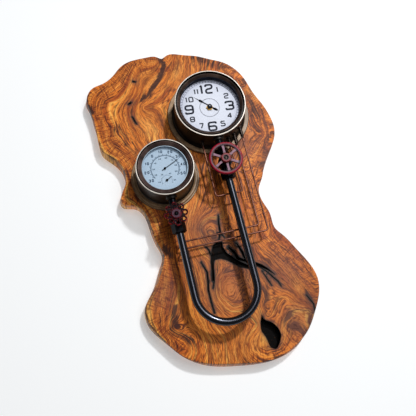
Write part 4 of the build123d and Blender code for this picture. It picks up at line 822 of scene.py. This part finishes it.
def lay_resin(mesh, outline):
    """Gives the faces of the cracks and the knot hollow the board's second finish."""
    middles = np.array([face.calc_center_median() for face in mesh.faces]) * 1000
    flat = middles[:, (0, 2)] - (CLOCK_X, CLOCK_Z)
    depth = BOARD_T + middles[:, 1]
    least, most = RESIN_DEPTHS
    hollow = ((depth > least) & (depth < most) & (np.hypot(*flat.T) > OPENING_R)
              & (distances(flat, outline) > BARK_WIDE))
    for face, is_hollow in zip(mesh.faces, hollow):
        face.material_index = int(is_hollow)


def wood_numbers(points, outline, tint):
    """What the wood is like at each of the board's points, in the order of WOOD_FIELDS."""
    places = points[:, (0, 2)] * 1000 - (CLOCK_X, CLOCK_Z)
    rim, along = nearest_on(places, outline)
    grain, nearest = grain_at(places)
    away = np.minimum(distances(places, BIG_CRACK + BIG_CRACK[:1]), distances(places, KNOT + KNOT[:1]))
    for widest, _, line in CRACKS:
        away = np.minimum(away, distances(places, line) - widest / 2)
    # Painted shade along the board's edge: the wood is darker in its outermost millimetres
    heart_and_edge_shade = 0.45 * np.exp(-rim / 1.5)
    for half, strength, line in STREAKS:
        heart_and_edge_shade = np.maximum(heart_and_edge_shade, strength * np.exp(-(distances(places, line) / half / 1.4) ** 2))
    dull, smooth = [np.max([np.exp(-(np.hypot(*(places - (x, z)).T) / reach) ** 2) for x, z, reach in spots],
                           axis=0) for spots in (DULL, SMOOTH)]
    # The resin's stain is on the front only
    front = points[:, 1] * 1000 < -BOARD_T / 2
    char = np.exp(-np.maximum(away, 0) / tint) * front
    # How freely the grain waves: more, the further it is from the growth lines and the bark
    calm = np.clip(nearest / 30.0, 0.0, 1.0) * np.clip(rim / 50.0, 0.2, 1.0)
    return grain, char, heart_and_edge_shade, dull, smooth, calm, rim, along


class WoodSizes(bpy.types.PropertyGroup):
    grid: FloatProperty(
        name="Grain grid", default=4.0, min=2.0, max=20.0,
        description="Distance between the board's points that carry its grain, in millimetres")
    tint: FloatProperty(
        name="Crack tint", default=8.0, min=0.0, max=30.0,
        description="How far the grey tint reaches from a crack, in millimetres")


class WEATHER_OT_finishes(bpy.types.Operator):
    """Makes every finish"""
    bl_idname = "weather_clock.finishes"
    bl_label = "Finishes"

    def execute(self, context):
        FINISH.update(make_finishes(context.scene.weather_colours))
        return {"FINISHED"}


class WEATHER_OT_board(bpy.types.Operator):
    """Cuts the cracks into the wooden board and gives its points their grain"""
    bl_idname = "weather_clock.board"
    bl_label = "Wooden board"

    def execute(self, context):
        sizes = context.scene.weather_wood
        board = mesh_piece("dressed_board", merged_copy("wood_board"), BOARD, "olive_wood", "olive_wood",
                           "black_resin")
        outline = BOARD_OUTLINE + BOARD_OUTLINE[:1]
        mesh = cut_cracks(board, context)
        cut_grid(mesh, sizes.grid / 1000)
        smooth_by_angle(mesh, 35)
        lay_resin(mesh, outline)
        mesh.to_mesh(board.data)
        mesh.free()
        points = np.array([vert.co for vert in board.data.vertices])
        for name, numbers in zip(WOOD_FIELDS, wood_numbers(points, outline, sizes.tint)):
            layer = board.data.attributes.new(name, "FLOAT", "POINT")
            layer.data.foreach_set("value", numbers.astype(np.float32))
        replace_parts(board, "wood_board")
        return {"FINISHED"}


def coated_copy(node, thick, hub=None):
    """Puts a copy of a node, grown by a coat, in the node's place. A copy with a hub is a hand: it grows
    along the dial only, and not where it is nearer than the hub's radius to the clock's axis."""
    mesh = merged_copy(node)
    mesh.normal_update()
    grown = []
    for vert in mesh.verts:
        step = vert.normal * thick
        if hub:
            away = vert.co - spot(0, 0, 0)
            step = Vector((step.x, 0, step.z)) if math.hypot(away.x, away.z) > hub else Vector()
        grown.append(vert.co + step)
    for vert, place in zip(mesh.verts, grown):
        vert.co = place
    smooth_by_angle(mesh, 40)
    slot = SLOTS[node]
    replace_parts(mesh_piece(f"coated_{node}", mesh, NODES[node]["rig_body"], slot, slot), node)


class FittingSizes(bpy.types.PropertyGroup):
    lacquer: length_property("Wire lacquer", "Thickness of the coat on the copper wires", 0.0005)
    paint: length_property("Hand paint", "Thickness of the paint round the edges of the hands", 0.0006)


class WEATHER_OT_fittings(bpy.types.Operator):
    """Gives each fitted piece its finish"""
    bl_idname = "weather_clock.fittings"
    bl_label = "Fittings"

    def execute(self, context):
        sizes = context.scene.weather_fittings
        own = {"clock_housing": "clock_bronze", "gauge_housing": "gauge_bronze", "clock_bezel": "clock_bezel",
               "gauge_bezel": "gauge_bezel", "hand_cap": "capped_shaft", "movement_nut": "dull_brass",
               "large_nipple": "black_casting", "small_nipple": "black_casting",
               "small_wheel_screw": "black_casting"}
        for name, obj in NODES.items():
            dress(obj, own.get(name, SLOTS[name]))
            if SLOTS[name] == "copper_wire":
                coated_copy(name, sizes.lacquer)
        for name in ("hour_hand", "minute_hand"):
            coated_copy(name, sizes.paint, HAND_HUB_R)
            # The photograph shows no shadow of the hands on the dial, and none of the rings round it
            bpy.data.objects[f"coated_{name}"].visible_shadow = False
        for name in ("clock_bezel", "clock_inner_ring"):
            NODES[name].visible_shadow = False
        return {"FINISHED"}


# Strokes of the square numerals in a box one wide and one high, each stroke a list of corners
STROKES = {
    "0": [[(0.5, 0), (1, 0), (1, 1), (0, 1), (0, 0), (0.5, 0)]],
    "1": [[(0.15, 0.82), (0.55, 1), (0.55, 0)]],
    "2": [[(0, 0.78), (0, 1), (1, 1), (1, 0.55), (0, 0.45), (0, 0), (1, 0)]],
    "3": [[(0, 0.8), (0, 1), (1, 1), (1, 0.5), (0.35, 0.5)],
          [(0.35, 0.5), (1, 0.5), (1, 0), (0, 0), (0, 0.2)]],
    "4": [[(0.78, 0), (0.78, 1), (0, 0.3), (1, 0.3)]],
    "5": [[(1, 1), (0, 1), (0, 0.55), (1, 0.55), (1, 0), (0, 0), (0, 0.18)]],
    "6": [[(1, 0.8), (1, 1), (0, 1), (0, 0), (1, 0), (1, 0.52), (0, 0.52)]],
    "7": [[(0, 1), (1, 1), (0.4, 0)]],
    "8": [[(0, 0.5), (0, 1), (1, 1), (1, 0.5), (0, 0.5), (0, 0), (1, 0), (1, 0.5)]],
    "9": [[(0, 0.2), (0, 0), (1, 0), (1, 1), (0, 1), (0, 0.48), (1, 0.48)]],
}


def lay_stroke(mesh, points, wide):
    """A flat band of ink along a line of points, made by rounding the line's corners and widening it."""
    path = [Vector(points[0])]
    for before, corner, after in zip(points, points[1:], points[2:]):
        corner = Vector(corner)
        back = Vector(before) - corner
        on = Vector(after) - corner
        # Square corners are rounder than slanted ones, whose tips would be cut off
        square = abs(back.normalized().dot(on.normalized())) < 0.3
        reach = min((1.1 if square else 0.55) * wide, back.length / 2, on.length / 2)
        start = corner + back.normalized() * reach
        end = corner + on.normalized() * reach
        for i in range(5):
            t = i / 4
            path.append(start * (1 - t) ** 2 + corner * 2 * t * (1 - t) + end * t ** 2)
    path.append(Vector(points[-1]))
    closed = (Vector(points[0]) - Vector(points[-1])).length < 1e-9
    rows = []
    for i, here in enumerate(path):
        before = path[i - 1] if i else (path[-2] if closed else here)
        after = path[i + 1] if i < len(path) - 1 else (path[1] if closed else here)
        if (after - before).length < 1e-12:
            continue
        along = (after - before).normalized()
        across = Vector((-along.y, along.x)) * wide / 2
        rows.append((mesh.verts.new((*(here + across), 0)), mesh.verts.new((*(here - across), 0))))
    for one, two in zip(rows, rows[1:]):
        mesh.faces.new((one[0], one[1], two[1], two[0]))


def clockwise(degrees):
    """The way out from a dial's centre at an angle from its top."""
    angle = math.radians(degrees)
    return math.sin(angle), math.cos(angle)


def lay_number(mesh, number, degrees, radius, high, wide, ink, gap=0.42, centre=(0.0, 0.0)):
    """An upright number at an angle and a radius on a dial, from the height and width of its figures and its
    stroke, in metres. The gap between two figures is a share of their width."""
    text = str(number)
    out = clockwise(degrees)
    middle = Vector((centre[0] + radius * out[0], centre[1] + radius * out[1]))
    widths = [wide * (0.35 if figure == "1" else 1.0) for figure in text]
    left = -(sum(widths) + gap * wide * (len(text) - 1)) / 2
    for figure, figure_wide in zip(text, widths):
        box_wide = figure_wide - (0 if figure == "1" else ink)
        for stroke in STROKES[figure]:
            points = []
            for x, y in stroke:
                if figure == "1":
                    x = (x - 0.55) * 0.9 + 0.5
                flat = Vector((left + (figure_wide - box_wide) / 2 + x * box_wide, (y - 0.5) * (high - ink)))
                points.append(tuple(middle + flat))
            lay_stroke(mesh, points, ink)
        left += figure_wide + gap * wide


def lay_row(mesh, numbers, first, between, radius, high, wide, ink, centre=(0.0, 0.0)):
    """Numbers at even angles round a dial."""
    for i, number in enumerate(numbers):
        lay_number(mesh, number, first + between * i, radius, high, wide, ink, centre=centre)


def lay_ring(mesh, radius, wide, first=0.0, sweep=360.0):
    """A flat ring or arc of ink about a dial's centre."""
    steps = int(96 * sweep / 360)
    rows = []
    for i in range(steps + 1):
        s, c = clockwise(first + sweep * i / steps)
        rows.append([mesh.verts.new((s * r, c * r, 0)) for r in (radius + wide / 2, radius - wide / 2)])
    for one, two in zip(rows, rows[1:]):
        mesh.faces.new((one[0], two[0], two[1], one[1]))


def lay_mark(mesh, degrees, inner, outer, wide, centre=(0.0, 0.0)):
    """A straight mark on a dial from one radius to another."""
    out = Vector(clockwise(degrees))
    side = Vector((out.y, -out.x)) * wide / 2
    middle = Vector(centre)
    corners = [middle + out * inner + side, middle + out * inner - side, middle + out * outer - side,
               middle + out * outer + side]
    mesh.faces.new([mesh.verts.new((*corner, 0)) for corner in corners])


def print_on(name, mesh, place, ink_t, finish):
    """Gives flat print its thickness, seats it on a dial and makes it a piece."""
    bmesh.ops.remove_doubles(mesh, verts=mesh.verts, dist=1e-7)
    bmesh.ops.recalc_face_normals(mesh, faces=mesh.faces)
    for face in mesh.faces:
        if face.normal.z < 0:
            face.normal_flip()
    made = bmesh.ops.extrude_face_region(mesh, geom=mesh.faces[:])["geom"]
    bmesh.ops.translate(mesh, vec=(0, 0, ink_t), verts=[v for v in made if isinstance(v, bmesh.types.BMVert)])
    bmesh.ops.recalc_face_normals(mesh, faces=mesh.faces)
    bmesh.ops.transform(mesh, matrix=place, verts=mesh.verts)
    mesh_piece(name, mesh, BOARD, "black_hands", finish)


class DialSizes(bpy.types.PropertyGroup):
    ink: length_property("Ink", "Thickness of the print on the dials", 0.00012)
    large_high: length_property("Large numerals", "Height of 3, 6 and 9", 0.0180)
    small_high: length_property("Small numerals", "Height of the hours between them", 0.0106)
    large_at: length_property("Large radius", "Where 12, 3, 6 and 9 stand", 0.0355)
    small_at: length_property("Small radius", "Where the other hours stand", 0.0375)


class WEATHER_OT_clock_print(bpy.types.Operator):
    """Prints the hours, the minute track and the centre ring on the clock's dial"""
    bl_idname = "weather_clock.clock_print"
    bl_label = "Clock print"

    def execute(self, context):
        sizes = context.scene.weather_dial
        place = face_frame(0, 0, CLOCK_DIAL_HIGH, CLOCK_TURN)
        hours = bmesh.new()
        for hour in range(1, 13):
            if hour % 3 == 0:
                at, high, (wide, ink) = sizes.large_at, sizes.large_high, LARGE_FIGURE
            else:
                at, high, (wide, ink) = sizes.small_at, sizes.small_high, SMALL_FIGURE
            if hour == 12:
                high, wide = TWELVE_HIGH, TWELVE_WIDE
            lay_number(hours, hour, 30 * hour, at, high, wide, ink, HOUR_GAP)
        print_on("clock_hours", hours, place, sizes.ink, "dark_ink")
        track = bmesh.new()
        for ring in TRACK_RINGS:
            lay_ring(track, *ring)
        for minute in range(60):
            lay_mark(track, 6 * minute, *MINUTE_MARK, FIVE_MINUTE_WIDE if minute % 5 == 0 else MINUTE_WIDE)
        for ring in CENTRE_RINGS:
            lay_ring(track, *ring)
        print_on("clock_track", track, place, sizes.ink, "grey_ink")
        return {"FINISHED"}


class WEATHER_OT_gauge_print(bpy.types.Operator):
    """Prints the temperature and humidity scales on the gauge's dial"""
    bl_idname = "weather_clock.gauge_print"
    bl_label = "Gauge print"

    def execute(self, context):
        scale = bmesh.new()
        lay_ring(scale, *ARC, first=-128, sweep=256)
        for i in range(-42, 43):
            to, wide = (0.0262, 0.0008) if i % 5 == 0 else (0.0246, 0.0005)
            lay_mark(scale, DEGREE_TURN * i, DEGREE_MARK_FROM, to, wide)
        lay_row(scale, *OUTER_ROW)
        lay_row(scale, *INNER_ROW)
        down = (0.0, -HUMIDITY_DOWN / 1000)
        for i in range(21):
            lay_mark(scale, -120 + 12 * i, HUMIDITY_MARK_FROM, 0.0105 if i % 5 == 0 else 0.0096, 0.0005, down)
        lay_row(scale, *HUMIDITY_ROW, centre=down)
        print_on("gauge_scales", scale, face_frame(GAUGE_X, GAUGE_Z, GAUGE_DIAL_HIGH, GAUGE_TURN),
                 context.scene.weather_dial.ink, "blue_ink")
        return {"FINISHED"}


class StageSizes(bpy.types.PropertyGroup):
    key: FloatProperty(name="Key light", description="Power of the main lamp in watts", default=80.0,
                       min=0.0)
    fill: FloatProperty(name="Fill light", description="Power of the front lamp in watts", default=6.8,
                        min=0.0)
    room: FloatProperty(name="Room", description="Strength of the even light from the room before the wall",
                        default=0.12, min=0.0)
    wall_back: length_property("Wall gap", "Gap between the board's back and the wall", 0.005)


def area_lamp(name, power, size, at, aim):
    """A soft lamp at a place, turned at another."""
    data = bpy.data.lights.new(name, "AREA")
    data.energy = power
    data.shape = "RECTANGLE"
    data.size, data.size_y = size
    lamp = bpy.data.objects.new(name, data)
    bpy.context.scene.collection.objects.link(lamp)
    lamp.location = at
    lamp.rotation_euler = (Vector(aim) - Vector(at)).to_track_quat("-Z", "Y").to_euler()


def white_plaster():
    """White wall: it shows only from its front and only to the camera, so that the board's back stays lit."""
    finish = empty_finish("white_plaster")
    tree = finish.node_tree
    matt = add(tree, "BsdfDiffuse", {"Color": linear("#D3D6D8")}).outputs["BSDF"]
    glow = add(tree, "Emission", {"Color": linear(WHITE), "Strength": 0.375}).outputs["Emission"]
    bright = add_beside("AddShader", {0: matt, 1: glow}).outputs["Shader"]
    clear = add(tree, "BsdfTransparent").outputs["BSDF"]
    seen = add(tree, "LightPath").outputs["Is Camera Ray"]
    behind = add(tree, "NewGeometry").outputs["Backfacing"]
    show = times(seen, less(1.0, behind))
    mixed = add_beside("MixShader", {0: show, 1: clear, 2: bright}).outputs["Shader"]
    add_beside("OutputMaterial", {"Surface": mixed})
    return finish


def even_light(room):
    """The half behind the board is the white wall that the camera sees, the half before it is the room."""
    world = bpy.data.worlds.new("even_light")
    world.use_nodes = True
    tree = world.node_tree
    tree.nodes.clear()
    paths = add(tree, "LightPath").outputs
    direct = calc("MAXIMUM", paths["Is Camera Ray"], paths["Is Transmission Ray"])
    toward_wall = apart(add(tree, "TexCoord").outputs["Generated"])["Y"]
    seen = calc("MAXIMUM", direct, calc("MULTIPLY_ADD", toward_wall, 3.0, 0.15, clamp=True))
    sky = add_beside("Background", {"Strength": times_plus(seen, 1.0 - room, room), "Color": linear(WHITE)})
    add_beside("OutputWorld", {"Surface": sky.outputs["Background"]})
    return world


class WEATHER_OT_stage(bpy.types.Operator):
    """Sets the wall, the lamps, the even light and the camera"""
    bl_idname = "weather_clock.stage"
    bl_label = "Stage"

    def execute(self, context):
        scene = context.scene
        sizes = scene.weather_stage
        mesh = bmesh.new()
        bmesh.ops.create_grid(mesh, x_segments=1, y_segments=1, size=2.5)
        bmesh.ops.transform(mesh, verts=mesh.verts, matrix=Matrix.Translation(
            (0, sizes.wall_back, -0.3)) @ Matrix.Rotation(math.radians(90), 4, "X"))
        wall = new_object("wall", mesh)
        wall.data.materials.append(white_plaster())
        scene.world = even_light(sizes.room)
        area_lamp("key_lamp", sizes.key, KEY_SIZE, MIDDLE + KEY_FAR * Vector(KEY_WAY).normalized(), MIDDLE)
        # The tall fill stands to the right of the camera, so that round black pieces show a line of light
        area_lamp("fill_lamp", sizes.fill, FILL_SIZE, FILL_AT, FILL_AIM)
        data = bpy.data.cameras.new("camera")
        data.sensor_width = CAMERA_SENSOR
        data.lens = CAMERA_LENS
        camera = bpy.data.objects.new("camera", data)
        scene.collection.objects.link(camera)
        camera.location = CAMERA_AT
        camera.rotation_euler = [math.radians(degrees) for degrees in CAMERA_TURN]
        scene.camera = camera
        scene.view_settings.view_transform = "Standard"
        return {"FINISHED"}


class WEATHER_PT_panel(bpy.types.Panel):
    bl_label = "Weather clock"
    bl_idname = "WEATHER_PT_panel"
    bl_space_type = "VIEW_3D"
    bl_region_type = "UI"
    bl_category = "Weather clock"

    def draw(self, context):
        layout = self.layout
        scene = context.scene
        for group in (scene.weather_colours, scene.weather_wood, scene.weather_fittings, scene.weather_dial,
                      scene.weather_stage):
            for name in group.__annotations__:
                layout.prop(group, name)
        for operator in OPERATORS:
            layout.operator(operator.bl_idname)


OPERATORS = (WEATHER_OT_finishes, WEATHER_OT_board, WEATHER_OT_fittings, WEATHER_OT_clock_print,
             WEATHER_OT_gauge_print, WEATHER_OT_stage)
GROUPS = (FinishColours, WoodSizes, FittingSizes, DialSizes, StageSizes)


def register():
    for kind in GROUPS + OPERATORS + (WEATHER_PT_panel,):
        bpy.utils.register_class(kind)
    bpy.types.Scene.weather_colours = PointerProperty(type=FinishColours)
    bpy.types.Scene.weather_wood = PointerProperty(type=WoodSizes)
    bpy.types.Scene.weather_fittings = PointerProperty(type=FittingSizes)
    bpy.types.Scene.weather_dial = PointerProperty(type=DialSizes)
    bpy.types.Scene.weather_stage = PointerProperty(type=StageSizes)


def unregister():
    del bpy.types.Scene.weather_stage
    del bpy.types.Scene.weather_dial
    del bpy.types.Scene.weather_fittings
    del bpy.types.Scene.weather_wood
    del bpy.types.Scene.weather_colours
    for kind in reversed(GROUPS + OPERATORS + (WEATHER_PT_panel,)):
        bpy.utils.unregister_class(kind)


def main():
    register()
    bpy.ops.weather_clock.finishes()
    bpy.ops.weather_clock.board()
    bpy.ops.weather_clock.fittings()
    bpy.ops.weather_clock.clock_print()
    bpy.ops.weather_clock.gauge_print()
    bpy.ops.weather_clock.stage()


if __name__ == "__main__":
    main()
